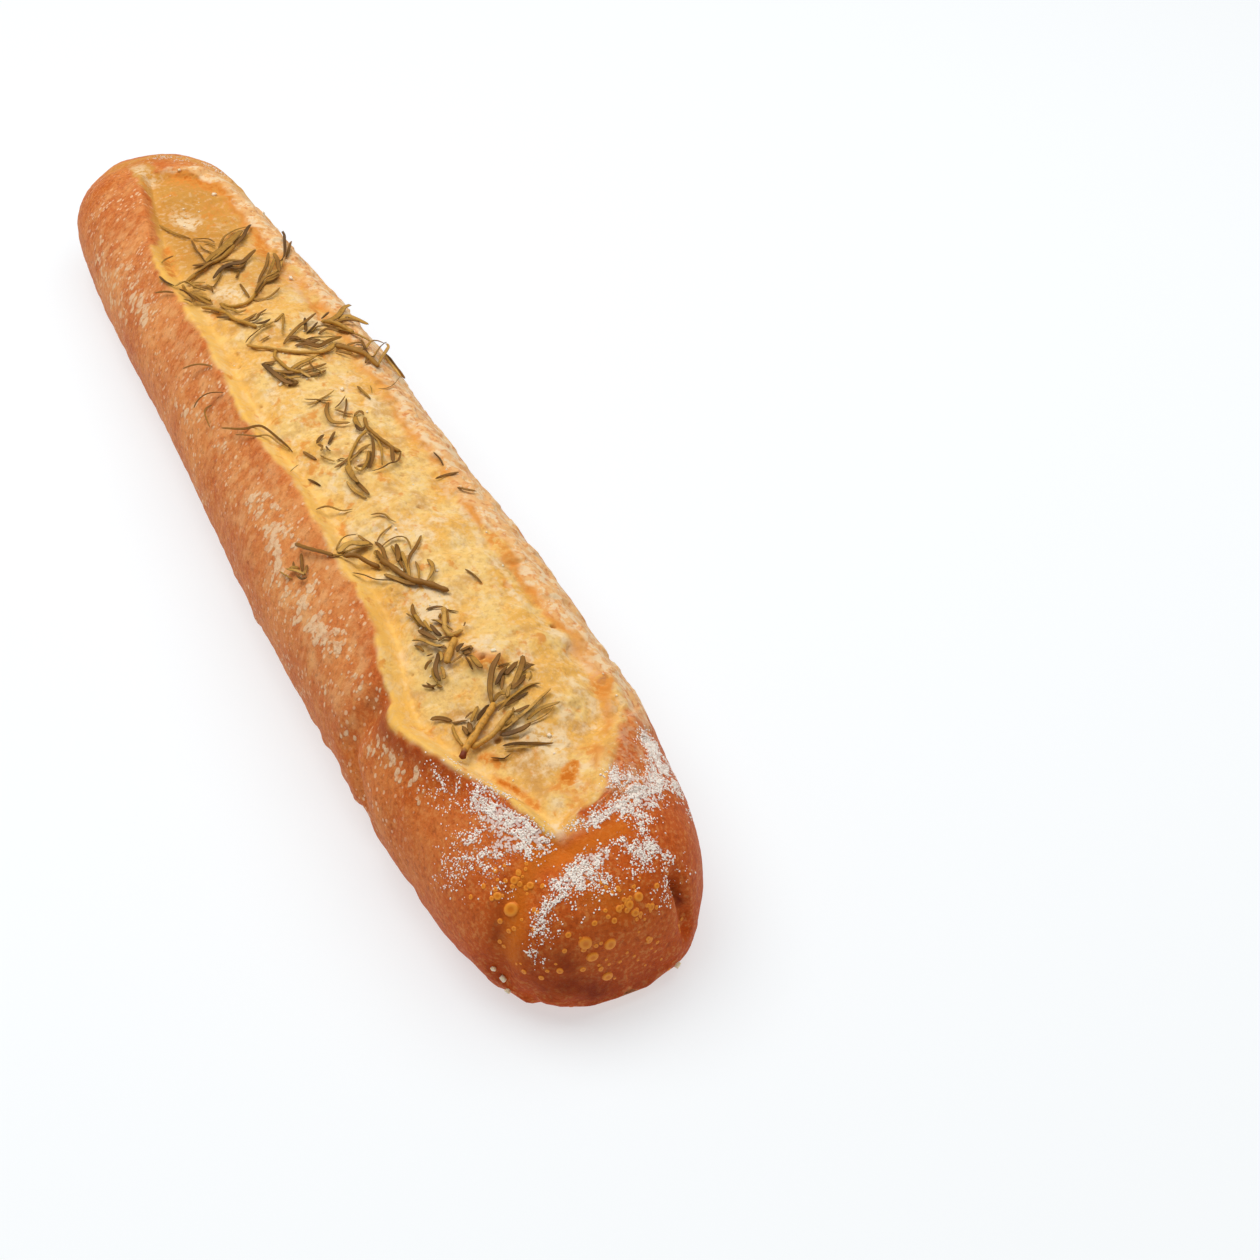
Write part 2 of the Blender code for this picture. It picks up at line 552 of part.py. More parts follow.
def salt_places(rng):
    """The grains that stand out, then others scattered clear of every needle."""
    rows = [row for _, needles in SPRIGS.values() for row in needles] + LOOSE_NEEDLES
    lines = [((row[0], row[1], 0), (row[2], row[3], 0)) for row in rows]
    for stems, _ in SPRIGS.values():
        for corners in stems:
            lines += [((*a, 0), (*b, 0)) for a, b in zip(corners[:-1], corners[1:])]
    places = list(SALT_PLACES)
    while len(places) < SALT_COUNT:
        x = rng.uniform(*SALT_AREA[0])
        y = float(along(np.array([x]), SPINE)[0]) + rng.uniform(*SALT_AREA[1])
        spot = np.array([[x, y, 0.0]])
        clear = min(float(distance_to_path(spot, line)[0]) for line in lines)
        apart = min(math.dist((x, y), other) for other in places)
        if clear > SALT_CLEAR and apart > SALT_CLEAR:
            places.append((x, y))
    return places


# ---- objects -------------------------------------------------------------------------
def material(name):
    colour, roughness = MATERIALS[name]
    made = bpy.data.materials.new(name)
    made.use_nodes = True
    shader = made.node_tree.nodes["Principled BSDF"]
    shader.inputs["Base Color"].default_value = (*colour, 1)
    shader.inputs["Roughness"].default_value = roughness
    shader.inputs["Metallic"].default_value = 0.0
    return made


def add_object(name, mesh, parent_collection):
    data = bpy.data.meshes.new(name)
    mesh.to_mesh(data)
    mesh.free()
    made = bpy.data.objects.new(name, data)
    parent_collection.objects.link(made)
    return made


def fused(name, pieces):
    """One object from overlapping closed meshes, joined by a Boolean union."""
    scene_objects = bpy.context.scene.collection
    base = add_object(name, pieces[0], scene_objects)
    group = bpy.data.collections.new(name + "_pieces")
    scene_objects.children.link(group)
    for i, piece in enumerate(pieces[1:]):
        add_object(f"{name}_piece_{i:02d}", piece, group)
    union = base.modifiers.new("union", "BOOLEAN")
    union.operation = "UNION"
    union.operand_type = "COLLECTION"
    union.collection = group
    union.solver = "EXACT"
    depsgraph = bpy.context.evaluated_depsgraph_get()
    joined = bpy.data.meshes.new_from_object(base.evaluated_get(depsgraph))
    base.modifiers.clear()
    base.data = joined
    joined.name = name
    for helper in list(group.objects):
        bpy.data.objects.remove(helper, do_unlink=True)
    bpy.data.collections.remove(group)
    tidy = bmesh.new()
    tidy.from_mesh(joined)
    bmesh.ops.triangulate(tidy, faces=tidy.faces)
    tidy.to_mesh(joined)
    tidy.free()
    return base


def finish_object(made, look):
    made.data.materials.clear()
    made.data.materials.append(look)
    made.data.shade_smooth()
    made.data.set_sharp_from_angle(angle=math.radians(CREASE))


def centre_on_base(objects):
    """Put the middle of the whole part's underside at the origin."""
    corners = [v.co for made in objects for v in made.data.vertices]
    middle_x = (min(c.x for c in corners) + max(c.x for c in corners)) / 2
    middle_y = (min(c.y for c in corners) + max(c.y for c in corners)) / 2
    for made in objects:
        made.location = (-middle_x, -middle_y, 0)
    print(f"centred by {middle_x / MM:.3f}, {middle_y / MM:.3f} mm")


def build():
    for old in list(bpy.data.objects):
        bpy.data.objects.remove(old, do_unlink=True)
    rng = random.Random(SEED)
    crust = material("baked_crust")
    rosemary = material("dried_rosemary")
    body = loaf_mesh()
    ground = Ground(body)
    toppings = [loose_needle(row, ground, rng) for row in LOOSE_NEEDLES]
    toppings += [salt_grain(x, y, ground, rng) for x, y in salt_places(rng)]
    loaf = fused("loaf", [body] + toppings)
    finish_object(loaf, crust)
    objects = [loaf]
    for name, (stems, rows) in SPRIGS.items():
        made = fused(name, sprig_pieces(stems, rows, ground, rng))
        finish_object(made, rosemary)
        objects.append(made)
    centre_on_base(objects)


build()
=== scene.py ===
"""Looks of the rosemary baguette: its crust, crumb, flour, blisters, salt and rosemary.

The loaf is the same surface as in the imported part, worked out again on a fine grid
with pores, wrinkles and flakes, and its colours come from masks stored on the points.
Lengths are in millimetres in the loaf's own coordinates, before the part was centred
on its base; place() turns them into metres in the shared frame.
"""
import math
import random

import bmesh
import bpy
import numpy as np
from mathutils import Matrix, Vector
from mathutils.bvhtree import BVHTree


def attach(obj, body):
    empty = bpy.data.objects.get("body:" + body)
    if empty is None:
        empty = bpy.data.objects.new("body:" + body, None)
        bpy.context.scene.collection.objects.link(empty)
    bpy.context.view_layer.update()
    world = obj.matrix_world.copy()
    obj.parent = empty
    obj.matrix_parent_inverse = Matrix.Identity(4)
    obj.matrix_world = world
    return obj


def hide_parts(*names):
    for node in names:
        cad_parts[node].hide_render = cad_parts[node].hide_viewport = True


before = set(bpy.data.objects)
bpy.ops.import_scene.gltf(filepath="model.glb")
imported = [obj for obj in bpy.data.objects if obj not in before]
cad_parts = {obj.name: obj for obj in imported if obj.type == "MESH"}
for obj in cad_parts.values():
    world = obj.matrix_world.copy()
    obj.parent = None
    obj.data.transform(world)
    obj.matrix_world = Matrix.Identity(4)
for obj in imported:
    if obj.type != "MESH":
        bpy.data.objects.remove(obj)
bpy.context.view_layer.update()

MM = 0.001
SEED = 7
CENTRE = np.array([0.0, 3.882, 0.0])     # the move that centres the part on its base

# ---- the loaf's driving dimensions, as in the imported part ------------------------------
LENGTH = 450.0
HALF = LENGTH / 2
FAR_CAP = 40.0
NEAR_CAP = 46.0
NEAR_BLUNT = 2.7
TIP_HEIGHT = 9.0
TIP_RISE = 0.45
BELLY = 0.40
FOOT_HALF = 15.0
FOOT_FLARE = 2.5
FOOT_MIDDLE = -2.5
FOOT_STEP = 0.8
STEP_SHARE = 0.02
SIDE_ROUND = 2.2
TOP_ROUND = 2.1
UNDER_ROUND = 2.8
HALF_WIDTH = [(-225, 31), (-180, 34), (-135, 36.5), (-75, 39), (-15, 40.5), (45, 41.5), (100, 42.2),
              (145, 42.2), (180, 39.0), (225, 34.0)]
SPINE = [(-225, 0), (-180, -1.2), (-135, -1.7), (-75, -1), (-15, -2.6), (45, -3.7), (100, -3.8),
         (145, -4), (180, -5.2), (225, -5.8)]
HEIGHT = [(-225, 37), (-180, 45), (-135, 48), (-15, 53), (100, 55), (180, 52), (225, 46)]
LIP_LEFT = [(-186, -8), (-151, -19.5), (-109, -30), (-60, -29.5), (0, -31), (45, -27), (85, -27.5),
            (112, -31), (131, -39), (143, -42), (156, -37), (173, -27.5), (191, -17), (202, -13)]
LIP_RIGHT = [(-186, -8), (-178, 25), (-165, 42), (-120, 46), (0, 44), (60, 42), (110, 44), (146, 50),
             (165, 45), (177, 32), (187, 21), (194, 12), (198, -2), (202, -13)]
CUT_ENDS = (-186.0, 202.0)
CUT_FADE = 9.0
LEAST_GAP = 16.0
LIP_RISE = [(-186, 0.8), (-60, 1.5), (60, 1.5), (120, 1.6), (143, 3.0), (180, 2.4), (202, 1.2)]
LIP_OUTER = 5.5
LIP_INNER = 2.0
LEFT_DEPTH = 4.2
LEFT_RAMP = 4.5
CENTRE_DEPTH = 2.0
DEPTH_FADE = 14.0
RIGHT_RAMP = 9.0
RIGHT_RISE = 0.7
NEAR_BOWL = (158.0, -16.0, 26.0, 15.0, 2.2)
FAR_BOWL = (-138.0, 4.0, 34.0, 17.0, 2.6)
CRUMB_LUMP = 13.0
CRUMB_LUMP_HEIGHT = 1.3
BODY_WAVE = 46.0
BODY_WAVE_HEIGHT = 1.0
END_LOBE = 11.0
END_LOBE_HEIGHT = 1.3
END_LOBE_START = 196.0
END_LOBE_REACH = 12.0
END_LOBE_TOP = 22.0
END_LOBE_FADE = 10.0
FOOT_FADE = 7.0
TIP_FADE = 0.5
FOLDS = [
    ([(132, -34, 46.5), (130, -40, 41.5), (129.5, -46, 30), (139, -47, 18.5)], 5.0, 3.2),
    ([(203, -14, 45.6), (207, -25, 39.5), (210, -34, 24), (210, -35, 13.7)], 4.0, 2.4),
    ([(218, 14, 34), (220.5, 14.6, 26), (222, 15, 16)], 2.6, 3.0),
]

# ---- the fine grid ---------------------------------------------------------------------
RING_STEP = 0.62
CAP_RINGS = 44
FLANK_COLUMNS = 66
CRUMB_COLUMNS = 118
CRUMB_MARGINS = (2.0, 3.0)    # how far the dense columns reach past the left and right lips
FOOT_COLUMNS = 6
FIRST_RING = 3.0
ARC_STEPS = 721
ABOVE_ALL = 120.0             # a height above the whole loaf

# ---- fine relief -----------------------------------------------------------------------
# noises are given as pairs: size of the bumps, then their height
CRUMB_RELIEF = [(11.0, 0.65), (5.2, 0.72), (2.6, 0.48), (1.4, 0.28)]
CRUMB_STRETCH = np.array([1.0, 0.72, 1.0])     # the crumb's bumps are longer across the loaf
CRUST_RELIEF = [(9.0, 0.30), (3.1, 0.16), (1.5, 0.10)]
WRINKLE = (2.8, 6.0, 0.14)    # wrinkles round the girth: spacing, length, height
WRINKLE_SHARE = (0.45, 1.3, 9.0)    # their least share, what the lip adds, and how far from it
SMOOTH_BAND = (3.5, 7.5)      # the fresh inner face of the lip is smooth up to here
BAND_SHARE = 0.25             # share of the crumb's bumps that it keeps
# pores: cell size, least and greatest radius, depth, share of the cells that hold one
PORES = [(7.0, 0.6, 1.25, 1.3, 0.6), (3.4, 0.45, 0.8, 0.65, 0.55)]
LIP_WANDER = [(9.0, 1.5), (3.0, 1.0)]    # how far the left edge of the crumb strays
RIGHT_WANDER = [(7.0, 2.6), (2.4, 1.3)]
# where the crumb reaches over the lip, or the crust over the crumb: path, radius, distance
LIP_SHIFTS = [
    ([(-195, -6, 41), (-184, -9, 43)], 6.0, 3.2),
    ([(-163, -11, 45), (-150, -14, 46), (-136, -17, 46)], 7.0, -3.2),
]
# where the crumb's colour fades in, from each lip inwards, and from each end of the cut
CRUMB_LEFT = (-1.5, 0.9)
CRUMB_RIGHT = (3.0, 6.0)
CRUMB_FAR = (-199.0, -187.0)
CRUMB_NEAR = (203.0, 197.0)
NEAR_SHIFT = 3.5              # it reaches this much further right beyond NEAR_START
NEAR_START = (140.0, 165.0)
FLAKE = 4.2                   # size of the flakes along the right edge
FLAKE_HEIGHT = 0.75
FLAKE_SHARE = (0.05, 0.30)    # the noise between which a flake rises
STRIP = ((-16.0, -10.0), (9.0, 5.0))     # the flaky strip's two limits, inwards from the edge
BASE_RAG = 1.5                # ragged edge of the crust near the floor
BASE_BAND = (7.0, 5.0)        # its height, then its half width
BASE_SIZES = (5.0, 21.0)      # size of its teeth, and of the stretches that have them
BASE_CONTRAST = 2.0
FOLD_HEIGHT = 0.7
FOLD_SIZE = 5.0
FOLD_STRETCH = (1.0, 0.7, 2.6)    # the folds lie level
FOLD_BAND = (5.0, 5.0)
FOLD_START = (165.0, 195.0)
FLOOR_FADE = 3.0
# cracks in the crust: path, half width, depth
CRACKS = [
    ([(216, 11.5, 33), (216, 12.7, 28), (217, 14, 23), (218, 15.2, 19)], 1.1, 1.6),
    ([(197, 13, 45), (199.5, 13.2, 44.5)], 0.8, 0.9),
    ([(202, -29, 40), (205, -32, 35), (208, -35, 26)], 1.6, 0.5),
]

# ---- noise -----------------------------------------------------------------------------
HASH_STEPS = (374761393, 668265263, 1274126177)
HASH_SEED = 974634777
HASH_MIXERS = (1103515245, 2654435761)
HASH_BITS = 0xFFFFFFFF
PORE_STRAY = 0.4              # how far a pore strays from the middle of its cell
PORE_WALL = 1.6               # steepness of its wall

# ---- masks -----------------------------------------------------------------------------
CLUMPS = [(2.2, 0.45), (6.0, 0.20)]    # unevenness of the powder and the strokes
CLUMP_MEAN = 0.95
LIT_BAND = (6.0, (-150.0, -110.0))         # yellow band inside the lip, its own pale yellow brightened by painted light on the steep face: width, where it starts
EDGE_LOSS = (0.65, (150.0, 175.0))     # the strip's tan colour fades towards the near end
LIP_RED = (5.0, 0.25, (70.0, 130.0))   # red lip: width, least share, where it grows
VEIL = (-10.0, 12.0, (135.0, 105.0))   # floury veil outside the lip: middle, width, where it ends
RIDGE = (0.6, 5.5, 2.2)                # orange line inside the strip: raggedness, middle, width
NEAR_END = (135.0, 210.0)              # along X
LOW_SHADE = (26.0, 4.0)                      # painted shade: darker, redder crust down to the floor
RIM_SHARE = 0.8
HOLE_LIMIT = 1.5
MASK_LIMITS = {"toast": 1.6, "pale": 1.2}    # the others end at 1
CLUMPED = ("powder", "strokes")
# patches painted on the surface: path of points, radius, amount
PAINT = {
    # powder that lies thick on the near end
    "powder": [
        ([(178, -25, 50), (182, -22, 51)], 2.6, 0.45),
        ([(181, -27, 47), (187, -24, 48.5), (193, -21, 48), (198, -18, 47)], 3.2, 0.85),
        ([(189, -25, 47), (195, -23, 46)], 3.5, 0.7),
        ([(194, -28, 44), (196, -25, 45), (198, -22.5, 46)], 2.4, 0.5),
        ([(189, -32, 42), (194, -32, 41), (198, -31, 40)], 5.0, 0.36),
        ([(186, -35, 40), (187, -39, 34)], 6.0, 0.22), ([(167, -32, 46), (175, -31, 45)], 5.0, 0.28),
        ([(176, 27, 40), (178, 29, 37), (187, 26, 38)], 4.0, 0.65),
        ([(190, 10, 48), (192, 13, 47), (196, 15, 45)], 3.6, 0.95),
        ([(174, 28, 40), (183, 24, 40), (192, 19, 43), (197, 15, 44)], 3.4, 0.8),
        ([(199, -2, 48), (198, 6, 47)], 2.4, 0.8), ([(198, -9, 48), (200, -3, 48)], 1.4, 0.6),
        ([(198, 9, 46), (204, 9, 44), (211, 6, 42)], 2.8, 0.55),
        ([(211, 5, 42), (210, 10, 41), (212, 13, 37)], 1.4, 0.6),
        ([(215, 3, 41), (217, 8, 36), (216, 12, 32)], 5.0, 0.22),
        ([(190, 27, 37), (193, 28, 33)], 3.5, 0.42), ([(206, 1, 45), (209, 3, 44)], 1.8, 0.5),
        ([(209, -4, 45), (209, -8, 45), (209, -14, 44)], 2.4, 0.8),
        ([(213, -12, 43), (211, -16, 42), (210, -19, 42)], 2.2, 0.7),
        ([(213, -19, 40), (213, -22, 39), (213, -25, 36)], 2.6, 0.5),
        ([(216, -25, 35), (216, -28, 31), (217, -29, 27)], 2.6, 0.38),
        ([(212, -10, 43), (215, -7, 42), (217, -14, 40)], 3.5, 0.26),
        ([(-198, 5, 40), (-189, 19, 39), (-178, 27, 35)], 3.0, 0.2),
    ],
    # short strokes of flour round the girth of the left flank
    "strokes": [
        ([(-206, -20, 36), (-180, -26, 36)], 8.0, 0.3),
        ([(-158, -33, 30), (-136, -36, 27), (-111, -38, 24)], 9.0, 0.7),
        ([(-128, -31, 37), (-95, -32, 39)], 7.0, 0.9),
        ([(-83, -36, 34), (-52, -38, 34), (-31, -39, 34)], 8.0, 0.55),
        ([(-32, -34, 42), (6, -36, 40)], 7.0, 0.5),
        ([(26, -34, 44), (40, -35, 44), (55, -36, 43)], 5.0, 1.1),
        ([(74, -35, 45), (88, -36, 44), (101, -36, 44)], 5.0, 0.9),
        ([(108, -36, 45), (128, -35, 45)], 5.0, 0.62), ([(108, -44, 33), (127, -44, 31)], 6.0, 0.6),
        ([(139, -41, 40), (151, -40, 41), (164, -37, 42)], 5.5, 0.95),
        ([(60, -44, 30), (95, -45, 26)], 8.0, 0.4), ([(34, -33, 46), (58, -32, 47)], 3.5, 0.7),
        ([(56, -40, 40), (80, -40, 40), (95, -40, 41)], 5.0, 0.7),
        ([(131, -36, 45), (130, -40, 41.5), (129.7, -43, 36), (129.5, -45, 31)], 1.6, 1.3),
    ],
    # darker, baked places of the crust, and painted shade inside its cracks
    "baked": [
        ([(130, -38, 44), (146, -37, 46), (158, -32, 48), (168, -28, 50)], 4.5, 0.5),
        ([(222, -24, 20), (225, -14, 11), (224, -2, 6)], 9.0, 0.34),
        ([(220, -27, 16), (223, -20, 16), (225, -14, 11)], 4.0, 0.5),
        ([(220, -24, 27), (222, -21, 24)], 3.5, 0.4), ([(212, -33, 24), (208, -36, 12)], 6.0, 0.3),
        # these three follow the cracks: painted shade in them
        ([(202, -29, 40), (205, -32, 35), (208, -35, 26)], 2.0, 0.45),
        ([(216, 12, 31), (216, 12.7, 28), (217, 14, 23)], 1.3, 1.3),
        ([(197, 13, 45), (199.5, 13.2, 44.5)], 0.9, 0.8),
    ],
    # the bright orange inside of two folds
    "amber": [
        ([(201, -17, 46), (205, -15, 44), (205, -8, 46), (204, 3, 46)], 3.2, 1.0),
        ([(201, -17, 46), (203, -23, 42), (207, -28, 38), (211, -31, 31), (212, -33, 23)], 3.4, 1.0),
        ([(217, -10, 40), (220, -5, 37)], 5.0, 0.6),
    ],
    # toasted spots of the crumb
    "toast": [
        ([(-178, 8, 41), (-168, 14, 42), (-160, 19, 41), (-143, 22, 41), (-122, 20, 43),
          (-104, 15, 44)], 3.4, 0.8),
        ([(-176, 4, 41), (-166, 8, 40)], 5.0, 0.4), ([(-152, 10, 41), (-146, 13, 41)], 4.0, 0.4),
        ([(183, -2, 48), (181, 0, 48), (180, 2, 48)], 1.6, 2.4),
        ([(172, -19, 46), (177, -16, 45), (182, -14, 46)], 1.7, 0.5),
        ([(174, -17.5, 45), (180, -14.6, 46)], 0.6, 0.9), ([(184, -14, 46), (188, -13, 46)], 1.3, 0.75),
        ([(165, -18, 46), (169, -15, 46)], 2.0, 0.8), ([(135, -6, 52), (138, -2, 52)], 3.0, 0.8),
        ([(151, 24, 45), (156, 22, 46)], 3.5, 0.7), ([(185, -6, 47), (190, 2, 47)], 3.0, 0.6),
        ([(176, 8, 47), (180, 10, 46)], 4.0, 0.5), ([(-127, -14, 42), (-106, -19, 45)], 2.5, 0.7),
        ([(-96, 18, 45), (-70, 20, 47), (-50, 20, 47)], 4.0, 0.5),
        ([(39, 24, 48), (77, 21, 50), (104, 21, 49), (128, 23, 47)], 3.0, 0.5),
        ([(66, 27, 47), (96, 26, 47), (122, 27, 46), (150, 27, 45)], 3.0, 0.45),
    ],
    # pale patches of the crumb
    "pale": [
        ([(70, -9, 52), (76, -4, 53)], 5.5, 0.8), ([(100, -8, 52), (108, -6, 52)], 6.0, 0.9),
        ([(110, -14, 51), (118, -10, 52)], 5.0, 0.8), ([(129, -4, 52), (133, -1, 52)], 5.0, 0.8),
        ([(132, -16, 50)], 5.0, 0.6), ([(162, -6, 49), (168, -2, 49)], 6.0, 0.8),
        ([(172, 1, 48)], 4.5, 0.7), ([(-146, -2, 41), (-142, 1, 41)], 3.5, 0.7),
        ([(-152, -3, 41), (-143, 0, 41)], 7.5, 0.5), ([(-84, -6, 46), (-80, -3, 47)], 6.0, 0.9),
        ([(-191, -6, 42), (-184, -6, 43), (-178, -4, 42)], 4.5, 0.75),
        ([(-164, -12, 46), (-149, -15, 46)], 2.6, 0.6), ([(-88, 20, 44), (-67, 16, 46)], 4.0, 0.6),
        ([(-143, 25, 39), (-121, 23, 41)], 4.0, 0.8), ([(-6, 8, 49)], 5.0, 0.8), ([(57, -2, 52)], 4.5, 0.8),
        ([(52, 18, 49), (79, 17, 51), (116, 16, 50), (134, 20, 48), (151, 24, 45)], 2.8, 0.6),
        ([(204, -12, 45), (201, -12, 47), (196, -12, 47)], 2.0, 1.1),
    ],
    # painted shade in the crumb, in its hollows and beside the sprigs, as a darker gold
    "shaded": [
        ([(-153, -7, 42), (-130, -6, 43), (-112, -14, 43)], 8.0, 0.7),
        ([(-190, 3, 41), (-165, 6, 40), (-140, 8, 42)], 14.0, 0.5),
        ([(-124, 3, 44), (-111, -2, 45), (-80, 8, 46)], 10.0, 0.5),
        ([(150, -18, 48), (160, -14, 48)], 6.0, 0.5), ([(166, -9, 47), (177, -7, 47)], 5.0, 0.9),
    ],
}
# a floury veil on the left flank, and the golden rim of the far end
HAZE = [
    ([(-152, -32, 33), (-128, -35, 31)], 7.0, 0.7), ([(20, -38, 40), (120, -40, 40)], 10.0, 0.8),
]
RIM = [
    ([(-201, -11, 38), (-202, 2, 39), (-196, 11, 40), (-189, 19, 39), (-182, 26, 35),
      (-166, 29, 34)], 6.0, 0.9),
]

# ---- blisters on the near end: place, radius --------------------------------------------
BLISTERS = [
    (207, -30, 35, 1.9), (203, -32, 37, 1.1), (220, -16, 29.5, 1.8), (222, -10, 27.6, 1.6),
    (222, -15, 25, 1.5), (224, -11.5, 16, 1.5), (219, -3, 35, 1.2), (219, -6, 35, 0.9),
    (220.5, -2, 33, 1.1), (220, -8, 33, 0.8), (221, 3, 32.5, 1.0), (224, 1, 23, 0.9),
    (220, -23, 22, 0.9), (203, -27, 40.5, 1.1), (206, -24, 40, 1.0), (219, 0, 36, 1.3),
]
# where the small ones gather: centre, spread, how many
BLISTER_CLUSTERS = [((219, -3, 33), (4, 8, 5), 38), ((205, -29, 37), (4, 4, 6), 34),
                    ((221, -8, 20), (4, 14, 8), 34)]
SMALL_BLISTER_SIZES = (0.35, 0.8)
# a blister's rings in shares of its radius: how far out, how far up, how light
BLISTER_RINGS = [(1.15, -0.10, 0.0), (1.0, 0.12, 0.3), (0.84, 0.26, 1.0), (0.58, 0.30, 0.8),
                 (0.30, 0.24, 0.3)]
BLISTER_TOP = (0.22, 0.2)     # how far up its middle lies, and how light it is
BLISTER_SIDES = 14
BLISTER_WOBBLE = 0.06
BLISTER_FLOOR = 4.0           # none sits lower than this

# ---- salt and flour --------------------------------------------------------------------
SALT_SIZES = (0.35, 1.0)
SALT_SHAPE = 0.8              # share of a grain's size that its half width takes
SALT_COUNT = 42
SALT_ANYWHERE = 0.12          # salt away from the pale patches, and on the flaky strip
SALT_EDGE = 0.04
SMALL_SALT = 2.2              # the greater this is, the more of the grains are small
BASE_BITS = [(208, -36, 15), (210, -35, 12), (211, -33, 9), (222, 10, 6)]
FLOUR_GRAINS = 8600
FLOUR_SIZES = (0.13, 0.34)
SMALL_FLOUR = 1.6
FLOUR_FALL = 1.15             # how fast the grains thin out with the powder
FLOUR_LOSS = 0.4              # share of them that rough crumb hides
FLOUR_CLUMPS = [(1.6, 1.0), (4.5, 0.6)]
FLOUR_CONTRAST = (1.2, 0.45)  # their contrast, then how much lies between them
STRETCH = (0.75, 1.3)         # how unevenly a grain may be stretched
UNEVEN = (0.8, 1.2)           # how far each of its corners may be moved
TILT = [0.31, 0.87, 0.38]     # a direction that no grain's normal has


def place(points):
    """Points in the loaf's millimetres, as metres in the shared frame."""
    return (np.asarray(points, float) + CENTRE) * MM


# ---- curves and noise ------------------------------------------------------------------
def along(x, table):
    """Smooth curve through the (x, value) pairs of a table, without overshoot."""
    knots, values = np.array(table, float).T
    spans = np.diff(knots)
    slopes = np.diff(values) / spans
    tangents = np.zeros_like(values)
    product = slopes[:-1] * slopes[1:]
    total = np.where(slopes[:-1] + slopes[1:] == 0, 1, slopes[:-1] + slopes[1:])
    tangents[1:-1] = np.where(product > 0, 2 * product / total, 0)
    tangents[0] = slopes[0]
    tangents[-1] = slopes[-1]
    x = np.clip(x, knots[0], knots[-1])
    i = np.clip(np.searchsorted(knots, x) - 1, 0, len(knots) - 2)
    t = (x - knots[i]) / spans[i]
    return ((1 + 2 * t) * (1 - t) ** 2 * values[i] + t * (1 - t) ** 2 * spans[i] * tangents[i]
            + t * t * (3 - 2 * t) * values[i + 1] + t * t * (t - 1) * spans[i] * tangents[i + 1])


def smooth(t):
    """Ease from 0 to 1 while t goes from 0 to 1."""
    t = np.clip(t, 0, 1)
    return t * t * (3 - 2 * t)


def ease(value, start, end):
    """Ease from 0 to 1 while the value goes from start to end."""
    return smooth((value - start) / (end - start))


def hill(value, middle, width):
    """1 at the middle, falling away softly on both sides."""
    return np.exp(-((value - middle) / width) ** 2)


def lattice(cell, seed):
    """A fixed value from -1 to 1 for each whole-number point of space."""
    h = sum(cell[..., axis] * step for axis, step in enumerate(HASH_STEPS)) + seed * HASH_SEED
    h = h & HASH_BITS
    for shift, mixer in zip((13, 15), HASH_MIXERS):
        h = ((h ^ (h >> shift)) * mixer) & HASH_BITS
    return (h ^ (h >> 16)) / (HASH_BITS // 2) - 1


def noise(points, size, seed):
    """Smooth noise from -1 to 1 with bumps about `size` across."""
    scaled = points / size
    cell = np.floor(scaled).astype(np.int64)
    f = smooth(scaled - cell)
    result = 0
    for corner in range(8):
        step = np.array([corner & 1, corner >> 1 & 1, corner >> 2])
        weight = np.prod(np.where(step == 1, f, 1 - f), axis=-1)
        result = result + weight * lattice(cell + step, seed)
    return result


def layers(points, pairs, seed):
    """Sum of noises, each with its size and its height."""
    return sum(height * noise(points, size, seed + n) for n, (size, height) in enumerate(pairs))


def pits(points, pores, seed):
    """Depth of round pores scattered through space, one at most in each cell."""
    size, least, most, depth, share = pores
    cell = np.floor(points / size).astype(np.int64)
    result = np.zeros(points.shape[:-1])
    for step in np.ndindex(3, 3, 3):
        where = cell + np.array(step) - 1
        spot = np.stack([lattice(where, seed + n) for n in range(3)], axis=-1)
        centre = (where + 0.5 + PORE_STRAY * spot) * size
        radius = least + (most - least) * (lattice(where, seed + 3) * 0.5 + 0.5)
        holds = lattice(where, seed + 4) * 0.5 + 0.5 < share
        gap = np.linalg.norm(points - centre, axis=-1)
        pit = depth * radius / most * smooth((1 - gap / radius) * PORE_WALL)
        result = np.maximum(result, np.where(holds, pit, 0))
    return result


def distance_to_path(points, path):
    """Distance from each point to a polyline in space, or to a single point."""
    path = [np.array(p, float) for p in path]
    best = np.linalg.norm(points - path[0], axis=-1)
    for a, b in zip(path[:-1], path[1:]):
        edge = b - a
        t = np.clip(((points - a) @ edge) / (edge @ edge), 0, 1)
        best = np.minimum(best, np.linalg.norm(points - a - t[..., None] * edge, axis=-1))
    return best


def painted(points, patches):
    """Sum of soft patches, each round a path with its radius and amount."""
    return sum(amount * hill(distance_to_path(points, path), 0, radius)
               for path, radius, amount in patches)


# ---- the loaf's surface ----------------------------------------------------------------
def reach(x):
    """1 along the loaf, falling to 0 at its two tips."""
    far = np.clip(1 - (x + HALF) / FAR_CAP, 0, 1)
    near = np.clip(1 - (HALF - x) / NEAR_CAP, 0, 1)
    return np.sqrt(1 - far ** 2) * (1 - near ** NEAR_BLUNT) ** (1 / NEAR_BLUNT)


